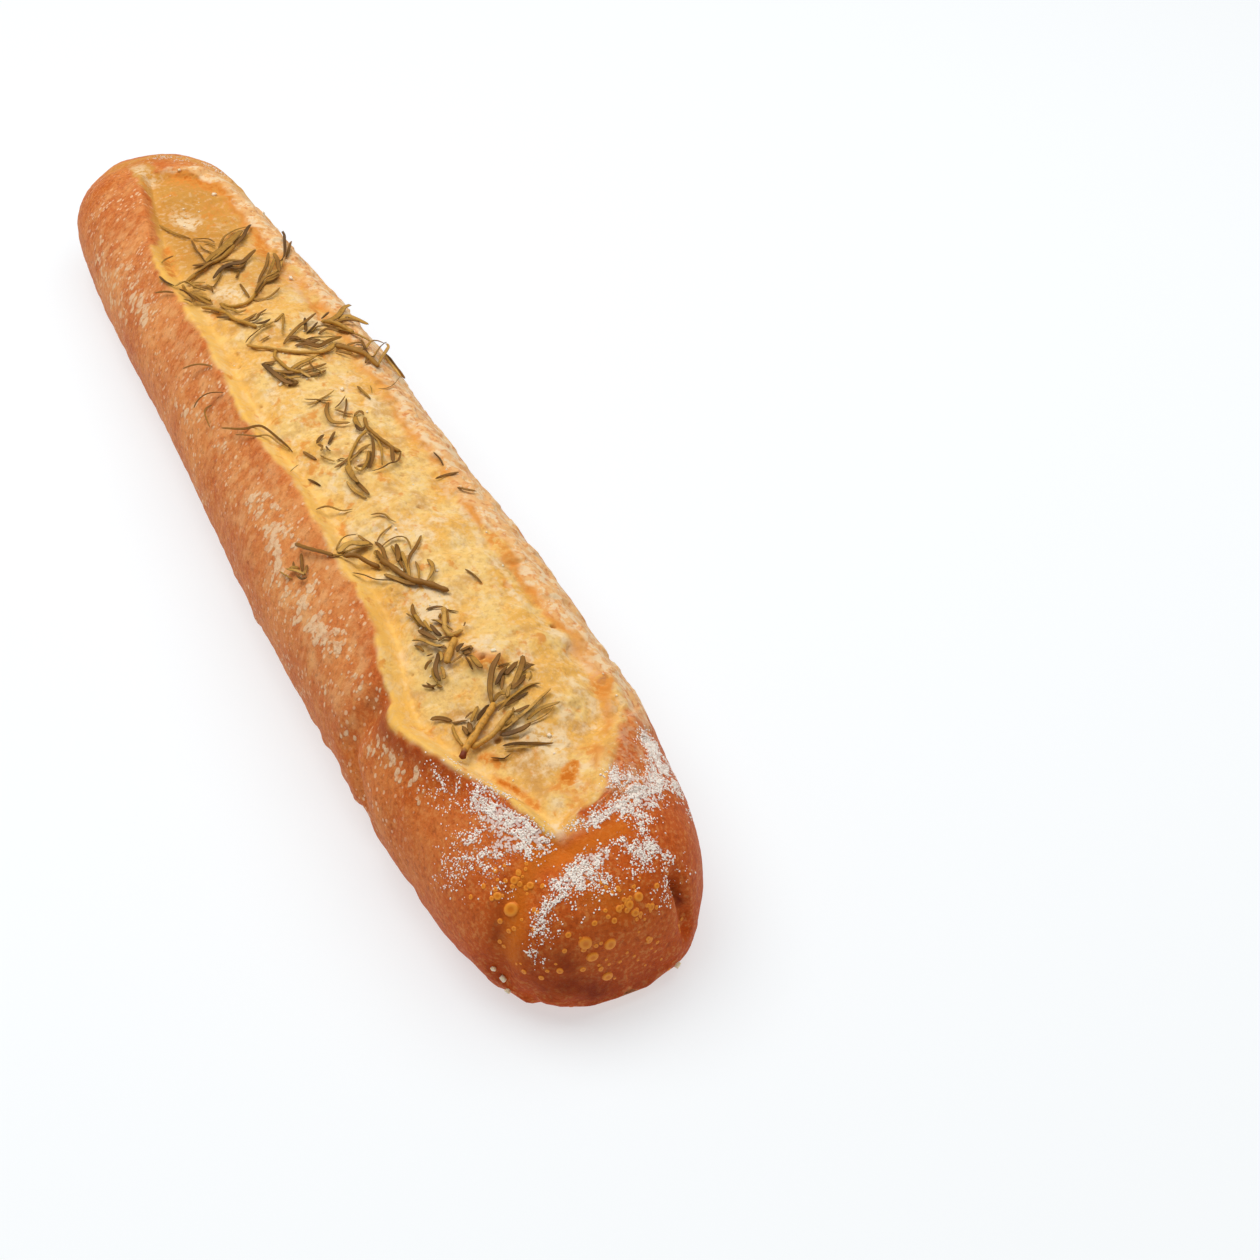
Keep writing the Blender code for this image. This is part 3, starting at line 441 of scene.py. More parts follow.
def section(x, angle):
    """Points of the loaf without its cut, for angles in degrees from the top, left negative."""
    size = reach(x)[:, None]
    half_width = along(x, HALF_WIDTH)[:, None] * size
    top = TIP_HEIGHT + (along(x, HEIGHT)[:, None] - TIP_HEIGHT) * np.sqrt(size)
    bottom = TIP_HEIGHT * (1 - size ** TIP_RISE) + FOOT_STEP * smooth((1 - size) / STEP_SHARE) * size
    belly = bottom + BELLY * (top - bottom)
    spine = along(x, SPINE)[:, None]
    side = np.sign(angle)
    foot_edge = FOOT_MIDDLE + side * (FOOT_HALF + FOOT_FLARE * (x[:, None] / HALF) ** 2)
    foot = side * (foot_edge - spine) * size
    turn = np.radians(np.abs(angle))
    sine = np.abs(np.sin(turn))
    cosine = np.abs(np.cos(turn))
    upper = turn <= math.pi / 2
    y = np.where(upper, half_width * sine ** (2 / SIDE_ROUND),
                 foot + (half_width - foot) * sine ** (2 / UNDER_ROUND))
    z = np.where(upper, belly + (top - belly) * cosine ** (2 / TOP_ROUND),
                 belly - (belly - bottom) * cosine ** (2 / UNDER_ROUND))
    x = np.broadcast_to(x[:, None], y.shape)
    return np.stack([x, spine + side * y, z], axis=-1)


def arc_table(x):
    """Angles, and the arc length from the left foot up to each, for every ring."""
    angles = np.linspace(-180, 180, ARC_STEPS)
    points = section(x, np.broadcast_to(angles, (len(x), len(angles))))
    steps = np.linalg.norm(np.diff(points, axis=1), axis=-1)
    lengths = np.concatenate([np.zeros((len(x), 1)), np.cumsum(steps, axis=1)], axis=1)
    return angles, lengths


def ring_places():
    """Where the rings lie along X, closer together round the two ends."""
    turns = np.radians(np.linspace(FIRST_RING, 90, CAP_RINGS))
    far = -HALF + FAR_CAP * (1 - np.cos(turns))
    near = HALF - NEAR_CAP * (1 - np.cos(turns) ** (2 / NEAR_BLUNT))
    count = int((near[-1] - far[-1]) / RING_STEP)
    middle = np.linspace(far[-1], near[-1], count + 1)
    return np.concatenate([far[:-1], middle, near[-2::-1]])


def bowl(points, shape):
    """A shallow round hollow in the crumb."""
    x, y, half_length, half_width, depth = shape
    return depth * hill(points[..., 0], x, half_length) * hill(points[..., 1], y, half_width)


def relief(points, from_left, from_right):
    """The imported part's own relief, along the normal."""
    x, z = points[..., 0], points[..., 2]
    is_open = smooth((x - CUT_ENDS[0]) / CUT_FADE) * smooth((CUT_ENDS[1] - x) / CUT_FADE)
    inside = is_open * smooth(from_left / LEFT_RAMP) * smooth(from_right / RIGHT_RAMP)
    fall = np.exp(-np.maximum(from_left, 0) / DEPTH_FADE)
    depth = CENTRE_DEPTH + (LEFT_DEPTH - CENTRE_DEPTH) * fall
    depth = depth + bowl(points, NEAR_BOWL) + bowl(points, FAR_BOWL)
    lumps = CRUMB_LUMP_HEIGHT * noise(points, CRUMB_LUMP, SEED)
    lip = along(x, LIP_RISE) * hill(from_left, 0, np.where(from_left < 0, LIP_OUTER, LIP_INNER))
    edge = RIGHT_RISE * hill(from_right, 0, LIP_OUTER)
    body = BODY_WAVE_HEIGHT * noise(points, BODY_WAVE, SEED + 1)
    lobes = (smooth((x - END_LOBE_START) / END_LOBE_REACH)
             * smooth((END_LOBE_TOP - z) / END_LOBE_FADE))
    body = body + END_LOBE_HEIGHT * lobes * noise(points, END_LOBE, SEED + 2)
    offset = body + is_open * (lip + edge) + inside * (lumps - depth) - painted(points, FOLDS)
    return offset * smooth(z / FOOT_FADE) * smooth(reach(x) / TIP_FADE), is_open


def strip(from_right):
    """1 in the strip of flaky crust along the right edge of the cut."""
    return ease(from_right, *STRIP[0]) * ease(from_right, *STRIP[1])


def fine_relief(points, flow, from_left, from_right, is_open):
    """Pores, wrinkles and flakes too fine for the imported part, and the masks that go with them."""
    x, z = points[..., 0], points[..., 2]
    inwards = from_left + layers(points, LIP_WANDER, SEED + 20) + painted(points, LIP_SHIFTS)
    rag = layers(points, RIGHT_WANDER, SEED + 22)
    near_shift = NEAR_SHIFT * ease(x, *NEAR_START)
    crumb = (ease(x, *CRUMB_FAR) * ease(x, *CRUMB_NEAR) * ease(inwards, *CRUMB_LEFT)
             * ease(from_right + rag + near_shift, *CRUMB_RIGHT))
    rough = crumb * ease(inwards, *SMOOTH_BAND)
    stretched = points * CRUMB_STRETCH
    bumps = layers(stretched, CRUMB_RELIEF, SEED + 30)
    holes = sum(pits(stretched, pores, SEED + 40 + 10 * n) for n, pores in enumerate(PORES))
    spacing, span, height = WRINKLE
    least, more, lip_reach = WRINKLE_SHARE
    height = height * (least + more * hill(from_left, 0, lip_reach))
    wrinkles = (layers(points, CRUST_RELIEF, SEED + 60)
                + height * noise(flow / np.array([spacing, span, 1.0]), 1.0, SEED + 65))
    flakes = FLAKE_HEIGHT * ease(noise(points, FLAKE, SEED + 70), *FLAKE_SHARE)
    flakes = flakes * is_open * strip(from_right)
    teeth, stretches = BASE_SIZES
    ragged = BASE_RAG * hill(z, *BASE_BAND) * (1 - is_open * (from_left > 0))
    has_teeth = smooth(noise(points, stretches, SEED + 72) * BASE_CONTRAST)
    ragged = ragged * noise(points, teeth, SEED + 71) * has_teeth
    folds = FOLD_HEIGHT * hill(z, *FOLD_BAND) * ease(x, *FOLD_START)
    folds = folds * noise(points * FOLD_STRETCH, FOLD_SIZE, SEED + 73)
    offset = (rough * (bumps - holes) + (1 - crumb) * wrinkles + BAND_SHARE * (crumb - rough) * bumps
              + flakes + ragged + folds - painted(points, CRACKS))
    return offset * smooth(z / FLOOR_FADE) * smooth(reach(x) / TIP_FADE), crumb, rough, holes, rag


def unit(vectors):
    """The same directions, with length 1."""
    return vectors / np.linalg.norm(vectors, axis=-1, keepdims=True)


def facing(points):
    """Which way a grid of points faces at each; its length is the area of a square there."""
    return np.cross(np.gradient(points, axis=0), np.gradient(points, axis=1))


def surface():
    """The fine surface: its points, its masks, and its places along and round the loaf."""
    rings = ring_places()
    angles, lengths = arc_table(rings)
    left_angle = along(rings, LIP_LEFT)
    right_angle = np.maximum(along(rings, LIP_RIGHT), left_angle + LEAST_GAP)
    left, right = (np.array([np.interp(a, angles, row) for a, row in zip(lip, lengths)])[:, None]
                   for lip in (left_angle, right_angle))
    start, end = (lip + margin * reach(rings)[:, None]
                  for lip, margin in ((left, -CRUMB_MARGINS[0]), (right, CRUMB_MARGINS[1])))
    shares = np.linspace(0, 1, FLANK_COLUMNS, endpoint=False)
    inner = np.linspace(0, 1, CRUMB_COLUMNS)
    arc = np.concatenate([shares * start, start + inner * (end - start),
                          end + (shares + shares[1]) * (lengths[:, -1:] - end)], axis=1)
    angle = np.array([np.interp(a, row, angles) for a, row in zip(arc, lengths)])
    from_left, from_right = arc - left, right - arc
    points = section(rings, angle)
    offset, is_open = relief(points, from_left, from_right)
    points = points + unit(facing(points)) * offset[..., None]
    flow = np.stack([points[..., 0], arc, np.zeros_like(arc)], axis=-1)
    offset, crumb, rough, holes, rag = fine_relief(points, flow, from_left, from_right, is_open)
    points = points + unit(facing(points)) * offset[..., None]
    x, z = points[..., 0], points[..., 2]
    clumps = CLUMP_MEAN + layers(points, CLUMPS, SEED + 75)
    band_width, band_start = LIT_BAND
    lost, loss_start = EDGE_LOSS
    lip_width, least_red, red_start = LIP_RED
    veil_middle, veil_width, veil_end = VEIL
    veil = hill(from_left, veil_middle, veil_width) * ease(x, *veil_end) * is_open
    masks = {
        "crumb": np.clip(crumb + RIM_SHARE * painted(points, RIM), 0, 1),
        "rough": rough,
        # the pores' depth, which also sets the painted shade in them
        "holes": np.clip(holes, 0, HOLE_LIMIT) * rough,
        "lit_band": hill(np.maximum(from_left, 0), 0, band_width) * crumb * ease(x, *band_start),
        "edge": strip(from_right) * is_open * (1 - lost * ease(x, *loss_start)),
        "lip": (hill(from_left, 0, lip_width) * is_open
                * (least_red + (1 - least_red) * ease(x, *red_start))),
        "haze": np.clip(veil + painted(points, HAZE), 0, 1),
        "ridge": hill(from_right + RIDGE[0] * rag, *RIDGE[1:]) * is_open,
        "end": ease(x, *NEAR_END),
        "low": ease(z, *LOW_SHADE),
    }
    for key, patches in PAINT.items():
        amount = painted(points, patches) * (clumps if key in CLUMPED else 1)
        masks[key] = np.clip(amount, 0, MASK_LIMITS.get(key, 1))
    return points, masks, flow


# ---- meshes ----------------------------------------------------------------------------
def new_object(name, data):
    """An object with this data, put in the scene."""
    made = bpy.data.objects.new(name, data)
    bpy.context.scene.collection.objects.link(made)
    return made


def mesh_object(name, points, faces, look):
    """An object from arrays of points (in the loaf's millimetres) and faces."""
    data = bpy.data.meshes.new(name)
    data.from_pydata(place(points).tolist(), [], faces.tolist())
    data.shade_smooth()
    data.materials.append(look)
    return new_object(name, data)


def store(made, name, values):
    """A value, or a vector, for each point of the mesh."""
    kind, field = ("FLOAT_VECTOR", "vector") if values.ndim == 2 else ("FLOAT", "value")
    attribute = made.data.attributes.new(name, kind, "POINT")
    attribute.data.foreach_set(field, values.ravel().astype(np.float32))


def grid_faces(index):
    """Triangles of a grid of point numbers, with the diagonals turned in every other square."""
    a, b = index[:-1, :-1].ravel(), index[:-1, 1:].ravel()
    c, d = index[1:, 1:].ravel(), index[1:, :-1].ravel()
    squares = np.indices((index.shape[0] - 1, index.shape[1] - 1))
    odd = (squares.sum(axis=0) % 2).ravel()[:, None] == 1
    first = np.where(odd, np.stack([a, b, c], 1), np.stack([a, b, d], 1))
    second = np.where(odd, np.stack([a, c, d], 1), np.stack([b, c, d], 1))
    return np.concatenate([first, second])[:, ::-1]


def tube_faces(index):
    """Triangles between the rings of a tube, given the numbers of their points."""
    turned = np.roll(index, -1, axis=1)
    a, b, c, d = index[:-1], turned[:-1], turned[1:], index[1:]
    return np.stack([a, b, c, a, c, d], axis=-1).reshape(-1, 3)


def sheet_piece(name, points, normals, stored, keep, blocks, pairs, look):
    """Some columns of the loaf's grid as a mesh, with a fan of triangles on each tip."""
    count = len(points) * len(keep)
    index = np.full(points.shape[:2], -1)
    index[:, keep] = np.arange(count).reshape(len(points), -1)
    fans = [(index[0, j], index[0, k], count) for j, k in pairs]
    fans += [(index[-1, k], index[-1, j], count + 1) for j, k in pairs]
    faces = [grid_faces(index[:, block]) for block in blocks] + [np.array(fans)]
    tips = np.array([(x, along(np.array([x]), SPINE)[0], TIP_HEIGHT) for x in (-HALF, HALF)])
    made = mesh_object(name, np.concatenate([points[:, keep].reshape(-1, 3), tips]),
                       np.concatenate(faces), look)
    for key, grid in stored.items():
        kept = grid[:, keep]
        flat = kept.reshape(count, *kept.shape[2:])
        store(made, key, np.concatenate([flat, kept[[0, -1]].mean(axis=1)]))
    ways = np.concatenate([normals[:, keep].reshape(-1, 3), [[-1.0, 0, 0], [1.0, 0, 0]]])
    made.data.normals_split_custom_set_from_vertices(ways.tolist())
    return made


def loaf_pieces(points, masks, flow, look):
    """The crust, closed by its foot and tips, and the crumb side of the cut."""
    shares = np.linspace(0, 1, FOOT_COLUMNS + 2)[1:-1, None]
    foot = points[:, -1:] + (points[:, :1] - points[:, -1:]) * shares
    normals = np.concatenate([unit(facing(points)), np.broadcast_to([0.0, 0, -1], foot.shape)], axis=1)
    stored = {key: np.concatenate([grid, np.zeros(foot.shape[:grid.ndim])], axis=1)
              for key, grid in {**masks, "flow": flow}.items()}
    points = np.concatenate([points, foot], axis=1)
    total = points.shape[1]
    first, last = FLANK_COLUMNS, FLANK_COLUMNS + CRUMB_COLUMNS - 1
    left, crumb, right = np.arange(first + 1), np.arange(first, last + 1), np.arange(last, total)
    pairs = [(j, (j + 1) % total) for j in range(total)]
    return [
        sheet_piece("loaf_crust", points, normals, stored, np.concatenate([left, right]),
                    [left, np.append(right, 0)], pairs[:first] + pairs[last:], look),
        sheet_piece("loaf_crumb", points, normals, stored, crumb, [crumb], pairs[first:last], look),
    ]


class Ground:
    """The loaf's fine surface, asked for its height from above or its nearest point."""

    def __init__(self, points):
        index = np.arange(points[..., 0].size).reshape(points.shape[:2])
        self.tree = BVHTree.FromPolygons(points.reshape(-1, 3).tolist(), grid_faces(index).tolist())

    def height(self, x, y):
        """The surface's height, or 0 beside the loaf."""
        hit = self.tree.ray_cast(Vector((x, y, ABOVE_ALL)), Vector((0, 0, -1)))[0]
        return hit.z if hit else 0.0

    def highest(self, x, y, margin):
        """The greatest height close to a place."""
        steps = (-margin, 0.0, margin)
        return max(self.height(x + dx, y + dy) for dx in steps for dy in steps)

    def nearest(self, point):
        """The surface's nearest point, and its normal there."""
        where, way = self.tree.find_nearest(Vector(point))[:2]
        return np.array(where), np.array(way)


# ---- materials -------------------------------------------------------------------------
CRUST_LIGHT = (0.75, 0.25, 0.058)
CRUST_DEEP = (0.60, 0.140, 0.020)
# the red of the near end and the lip, also laid on as painted shade low down and in the wrinkles
CRUST_RED_AND_SHADE = (0.56, 0.078, 0.004)
# dark baked brown, also laid on as painted shade in the cracks
CRUST_BAKED_AND_SHADE = (0.23, 0.026, 0.003)
CRUST_AMBER = (0.68, 0.165, 0.008)
CRUST_TAN = (0.84, 0.42, 0.13)
CRUST_VEIL = (0.88, 0.48, 0.20)
CRUST_EDGE = (0.86, 0.50, 0.20)
# the crumb's deeper gold, also laid on as painted shade in its hollows
CRUMB_GOLD_AND_SHADE = (0.62, 0.28, 0.050)
CRUMB_BASE = (0.84, 0.45, 0.10)
CRUMB_CREAM = (0.88, 0.58, 0.20)
CRUMB_TOAST = (0.62, 0.17, 0.016)
CRUMB_ORANGE = (0.74, 0.28, 0.050)
# painted shade in the pores
CRUMB_PORE_SHADE = (0.36, 0.13, 0.022)
CRUMB_TAN = (0.60, 0.31, 0.095)
CRUMB_PALE = (0.88, 0.68, 0.42)
# the band's yellow, made brighter as painted light
CRUMB_LIT_BAND = (0.92, 0.52, 0.11)
FLOUR_WHITE = (1.0, 0.93, 0.86)
FLOUR_CREAM = (0.86, 0.60, 0.36)
# of the grains of flour and of salt: the light colour, then the dark one
FLOUR_COLOURS = ((1.0, 0.93, 0.85), (0.98, 0.86, 0.74))
SALT_COLOURS = ((0.92, 0.78, 0.58), (0.85, 0.66, 0.42))
BLISTER_COLOURS = ((0.70, 0.175, 0.007), (0.86, 0.30, 0.030))
LEAF_TONES = [(0.115, 0.050, 0.008), (0.28, 0.120, 0.016), (0.50, 0.250, 0.034), (0.64, 0.35, 0.075),
              (0.68, 0.32, 0.045)]
LEAF_BROWN = (0.20, 0.085, 0.015)
# colour of the painted shade on the needles
LEAF_EDGE_SHADE = (0.075, 0.034, 0.006)
CUT_END = (0.20, 0.035, 0.008)
# noises of the bread: scale, detail, roughness, draw
NOISES = {
    "broad": (0.035, 3.0, 0.55, 0.0),
    "mottle": (0.16, 4.0, 0.55, 0.0),
    "wrinkle_shade": (1.0, 2.0, 0.55, 0.0),
    "speckled": (0.85, 2.0, 0.6, 11.0),
    "freckled": (0.60, 3.0, 0.6, 3.0),
    "fine": (0.55, 4.0, 0.55, 0.0),
    "creamy": (0.085, 3.0, 0.55, 0.0),
    "clouds": (0.13, 4.0, 0.55, 5.0),
    "pale": (0.17, 5.0, 0.60, 9.0),
    "grain": (0.70, 3.0, 0.6, 2.0),
    "scorch": (0.22, 4.0, 0.58, 7.0),
    "ridge": (0.10, 2.0, 0.5, 1.0),
    "flaky": (0.30, 4.0, 0.65, 4.0),
    "strokes": (0.20, 3.0, 0.5, 8.0),
    "specks": (0.05, 2.0, 0.55, 0.0),
    "powder": (0.40, 3.0, 0.6, 6.0),
    "bump": (1.1, 4.0, 0.65, 0.0),
}
# how patterns are stretched: the crust's along and round the loaf, the crumb's in space
WRINKLE_SHADE_CELLS = (0.26, 0.20, 1.0)
STROKE_CELLS = (0.55, 0.38, 1.0)
SPECK_CELLS = (0.62, 0.54, 1.0)
CRUMB_CELLS = (0.85, 1.0, 1.0)
# how much of the red, gold, amber and flour shows where each is thickest
# the low share is painted shade towards the floor; the end and the lip are the crust's own red
REDNESS_AND_LOW_SHADE = {"end": 0.72, "lip": 0.48, "low": 0.30}
FAR_GOLD_AND_SHADE = (-190.0, -20.0, 0.62, 0.0)    # gold at the far end, the crumb's own deeper gold with painted shade of its far hollow: from, to, its share at each
SHADED_GOLD = 0.7
AMBER_SHARE = 0.75
RIDGE_SHARE = 0.75
FLAKY_SHARE = 0.75
STROKE_SHARE = 0.82
SPECK_SHARE = 0.72
POWDER_SHARE = 0.62
POWDER_COVER = 0.66           # the most that powder covers
EDGE_SHADE_SHARE = 0.75              # how dark the painted shade along a needle's edges, groove and underside is
BREAD_BUMP = 0.0006           # heights of the shaders' fine bumps, in metres
GRAIN_BUMPS = {"flour": 0.0002, "salt": 0.0001}
LEAF_BUMP = 0.00012


class Value:
    """What a node gives; it can be added to, multiplied and spread."""

    def __init__(self, nodes, socket):
        self.nodes, self.socket = nodes, socket

    def __add__(self, other):
        return self.nodes.math("ADD", self, other)

    def __sub__(self, other):
        return self.nodes.math("SUBTRACT", self, other)

    def __mul__(self, other):
        return self.nodes.math("MULTIPLY", self, other)

    def or_more(self, other):
        """The greater of the two."""
        return self.nodes.math("MAXIMUM", self, other)

    def to(self, low, high, to_low=0.0, to_high=1.0):
        """Its values from low to high become to_low to to_high, eased and clamped."""
        return self.nodes.out(0, "ShaderNodeMapRange", {"interpolation_type": "SMOOTHSTEP"}, Value=self,
                              From_Min=low, From_Max=high, To_Min=to_low, To_Max=to_high)


class Nodes:
    """Short ways to add shader nodes to one material."""

    def __init__(self, name):
        self.made = bpy.data.materials.new(name)
        self.made.use_nodes = True
        self.tree = self.made.node_tree
        self.shader = self.tree.nodes["Principled BSDF"]

    def feed(self, socket, value):
        """Link a socket, or set its number or colour."""
        if isinstance(value, Value):
            self.tree.links.new(value.socket, socket)
        elif socket.type == "RGBA":
            socket.default_value = (*value, 1)
        else:
            socket.default_value = value

    def add(self, kind, settings=None, **inputs):
        """A new node; an input is given by its name, or by its number after an underscore."""
        node = self.tree.nodes.new(kind)
        for key, value in (settings or {}).items():
            setattr(node, key, value)
        for key, value in inputs.items():
            key = key.replace("_", " ").strip()
            self.feed(node.inputs[int(key) if key.isdigit() else key], value)
        return node

    def out(self, output, kind, settings=None, **inputs):
        """One output of a new node."""
        return Value(self, self.add(kind, settings, **inputs).outputs[output])

    def shade(self, **inputs):
        """Feed the material's own shader."""
        for key, value in inputs.items():
            self.feed(self.shader.inputs[key.replace("_", " ")], value)

    def mask(self, name):
        return self.out("Fac", "ShaderNodeAttribute", {"attribute_name": name})

    def vector(self, name):
        return self.out("Vector", "ShaderNodeAttribute", {"attribute_name": name})

    def stretched(self, vector, scale):
        return self.out(0, "ShaderNodeMapping", Vector=vector, Scale=scale)

    def millimetres(self):
        return self.stretched(self.out("Object", "ShaderNodeTexCoord"), (1000, 1000, 1000))

    def noise(self, vector, scale, detail=3.0, roughness=0.55, draw=0.0):
        """Noise; a different draw gives another pattern at the same place."""
        return self.out("Fac", "ShaderNodeTexNoise", {"noise_dimensions": "4D"}, Vector=vector,
                        Scale=scale, Detail=detail, Roughness=roughness, W=draw)

    def known(self, name, vector):
        """One of the bread's noises."""
        return self.noise(vector, *NOISES[name])

    def warped(self, vector, scale, amount):
        """The same places, shifted a little by noise."""
        shift = self.out("Color", "ShaderNodeTexNoise", Vector=vector, Scale=scale)
        shift = self.out(0, "ShaderNodeVectorMath", {"operation": "SCALE"}, _0=shift, Scale=amount)
        return self.out(0, "ShaderNodeVectorMath", _0=vector, _1=shift)

    def cells(self, vector, scale):
        """A scatter of cells: the distance from the middle of each, and its own number."""
        node = self.add("ShaderNodeTexVoronoi", Vector=vector, Scale=scale)
        colour = Value(self, node.outputs["Color"])
        return Value(self, node.outputs["Distance"]), self.out(0, "ShaderNodeSeparateColor", _0=colour)

    def math(self, operation, a, b):
        return self.out(0, "ShaderNodeMath", {"operation": operation}, _0=a, _1=b)

    def mix(self, amount, below, above):
        return self.out(2, "ShaderNodeMix", {"data_type": "RGBA"}, _0=amount, _6=below, _7=above)

    def layered(self, colour, coats):
        """A colour with others laid over it in turn, each by its own amount."""
        for amount, coat in coats:
            colour = self.mix(amount, colour, coat)
        return colour

    def bump(self, height, distance, strength=0.7):
        """Fine bumps that only change the shading."""
        self.shade(Normal=self.out(0, "ShaderNodeBump", Height=height, Distance=distance,
                                   Strength=strength))


def crust_colour(n, skin, spot, mottle):
    """Orange-brown, redder towards the near end, the lip and the baked places, with painted shade low down,
    in the wrinkles and in the cracks.
    """
    # the low mask darkens the crust towards the floor: painted shade
    end, lip, low = (n.mask(key) * share for key, share in REDNESS_AND_LOW_SHADE.items())
    wrinkle_shade = n.known("wrinkle_shade", n.warped(n.stretched(skin, WRINKLE_SHADE_CELLS), 0.5, 0.5))
    speckled = n.known("speckled", spot)
    return n.layered(CRUST_DEEP, [
        (n.known("broad", spot).to(0.36, 0.64), CRUST_LIGHT),
        (mottle.to(0.48, 0.74, 0.0, 0.40), CRUST_TAN),
        ((end + lip + low) * mottle.to(0.25, 0.65, 0.75, 1.15), CRUST_RED_AND_SHADE),
        # painted shade of the wrinkles: streaks of red round the girth
        (wrinkle_shade.to(0.46, 0.68, 0.0, 0.28), CRUST_RED_AND_SHADE),
        (speckled.to(0.50, 0.66, 0.0, 0.30), CRUST_TAN),
        (speckled.to(0.46, 0.32, 0.0, 0.30), CRUST_BAKED_AND_SHADE),
        (n.mask("haze") * wrinkle_shade.to(0.36, 0.56, 0.48, 0.12), CRUST_VEIL),
        (n.known("freckled", spot).to(0.52, 0.70, 0.0, 0.34), CRUST_BAKED_AND_SHADE),
        # baked places, and painted shade in the cracks
        (n.mask("baked") * mottle.to(0.25, 0.65, 0.6, 1.2), CRUST_BAKED_AND_SHADE),
        (n.mask("amber") * AMBER_SHARE, CRUST_AMBER),
    ])


def crumb_colour(n, spot, fine):
    """Golden to cream, with tan clouds, toasted spots, pores and pale patches; painted shade in the pores,
    the hollows and the far end, and painted light on the band inside the lip.
    """
    drawn_out = n.stretched(spot, CRUMB_CELLS)
    # far: the far end's deeper gold, partly painted shade
    far = n.out(0, "ShaderNodeSeparateXYZ", _0=spot).to(*FAR_GOLD_AND_SHADE)
    cream = (n.known("pale", drawn_out) - far * 0.06).to(0.52, 0.64, 0.0, 0.65)
    grain = n.known("grain", spot)
    light = grain.to(0.46, 0.32, 0.0, 0.30) * n.mask("rough") * far.to(0.0, 0.5, 1.0, 0.2)
    scorch = n.known("scorch", drawn_out) + n.mask("rough") * 0.03
    ridge = n.mask("ridge") * n.known("ridge", drawn_out).to(0.36, 0.56)
    toast = n.mask("toast") * fine.to(0.38, 0.58, 0.40, 1.2)
    pale = n.mask("pale") * fine.to(0.36, 0.54, 0.20, 0.9)
    return n.layered(CRUMB_BASE, [
        (n.known("creamy", spot).to(0.40, 0.60), CRUMB_CREAM),
        (n.known("clouds", drawn_out).to(0.50, 0.66, 0.0, 0.70), CRUMB_TAN),
        # the far end's deeper gold, partly painted shade, and painted shade in the hollows
        (far + n.mask("shaded") * SHADED_GOLD, CRUMB_GOLD_AND_SHADE),
        ((cream - far * 0.8).or_more(0.0), CRUMB_PALE),
        (fine.to(0.50, 0.66, 0.0, 0.35), CRUMB_PALE),
        (grain.to(0.50, 0.66, 0.0, 0.42) * n.mask("rough"), CRUMB_TAN),
        (light, CRUMB_PALE),
        # painted light on the steep inner face of the lip
        (n.mask("lit_band") * fine.to(0.40, 0.60, 0.80, 0.45), CRUMB_LIT_BAND),
        (scorch.to(0.59, 0.70, 0.0, 0.80), CRUMB_ORANGE),
        (ridge * RIDGE_SHARE, CRUMB_ORANGE),
        (toast.to(0.05, 0.70), CRUMB_ORANGE),
        (toast.to(0.50, 1.40), CRUMB_TOAST),
        (pale.to(0.15, 0.9, 0.0, 0.80), CRUMB_PALE),
        # painted shade in the pores' dents
        (n.mask("holes").to(0.20, 1.2, 0.0, 0.80), CRUMB_PORE_SHADE),
    ])


def blobs(n, vector, scale, cover, soft):
    """Round spots of a scatter of cells; the greater the cover, the wider they are."""
    return (cover - n.cells(vector, scale)[0]).to(0.0, soft)


def dots(n, vector, least, most, share, soft=0.10):
    """Round spots, one at most in each cell, of uneven size."""
    distance, number = n.cells(vector, 1.0)
    size = number.to(1 - share, 1.0, least, most)
    return (size - distance).to(0.0, soft) * n.math("GREATER_THAN", number, 1 - share)


def bread_material():
    """Crust and crumb in one material, told apart by the masks on the points."""
    n = Nodes("bread")
    skin = n.vector("flow")
    spot = n.millimetres()
    fine, mottle = n.known("fine", spot), n.known("mottle", spot)
    crumb, edge = n.mask("crumb"), n.mask("edge")
    flaky = edge * n.known("flaky", spot).to(0.49, 0.58)
    cover = n.mask("strokes") * (n.known("strokes", spot).to(0.38, 0.62) * 0.55 + 0.35)
    stroke = blobs(n, n.warped(n.stretched(skin, STROKE_CELLS), 0.9, 0.30), 1.0, cover, 0.16)
    stroke = stroke * fine.to(0.36, 0.54, 0.45, 1.0)
    specks = dots(n, n.warped(n.stretched(skin, SPECK_CELLS), 0.9, 0.20), 0.16, 0.46, 0.55)
    specks = specks * n.known("specks", spot).to(0.40, 0.58) * n.mask("end").to(0.0, 0.7, 1.0, 0.0)
    cover = n.mask("powder") * n.known("powder", spot).to(0.34, 0.66, 0.65, 1.20)
    powder = blobs(n, n.warped(spot, 1.5, 0.7), 1.25, n.math("MINIMUM", cover, POWDER_COVER), 0.14)
    colour = n.layered(crust_colour(n, skin, spot, mottle), [
        # the tan, flaky strip of crust beside the crumb, then the crumb
        ((edge * fine.to(0.38, 0.58, 0.45, 1.0)).to(0.1, 0.9, 0.0, 0.90), CRUST_EDGE),
        (flaky * FLAKY_SHARE, CRUMB_PALE),
        (crumb, crumb_colour(n, spot, fine)),
        # flour: strokes round the girth, a scatter of specks on the crust, powder
        (stroke * STROKE_SHARE, FLOUR_CREAM),
        (specks * n.math("SUBTRACT", 1.0, crumb) * SPECK_SHARE, FLOUR_CREAM),
        (powder * POWDER_SHARE, FLOUR_WHITE),
    ])
    dusted = powder.or_more(stroke)
    n.shade(Base_Color=colour, Roughness=dusted.or_more(crumb).to(0.0, 1.0, 0.52, 0.92),
            Specular_IOR_Level=0.08)
    n.bump(n.known("bump", spot) * 0.7 + dusted * 0.35, BREAD_BUMP, 1.0)
    return n.made


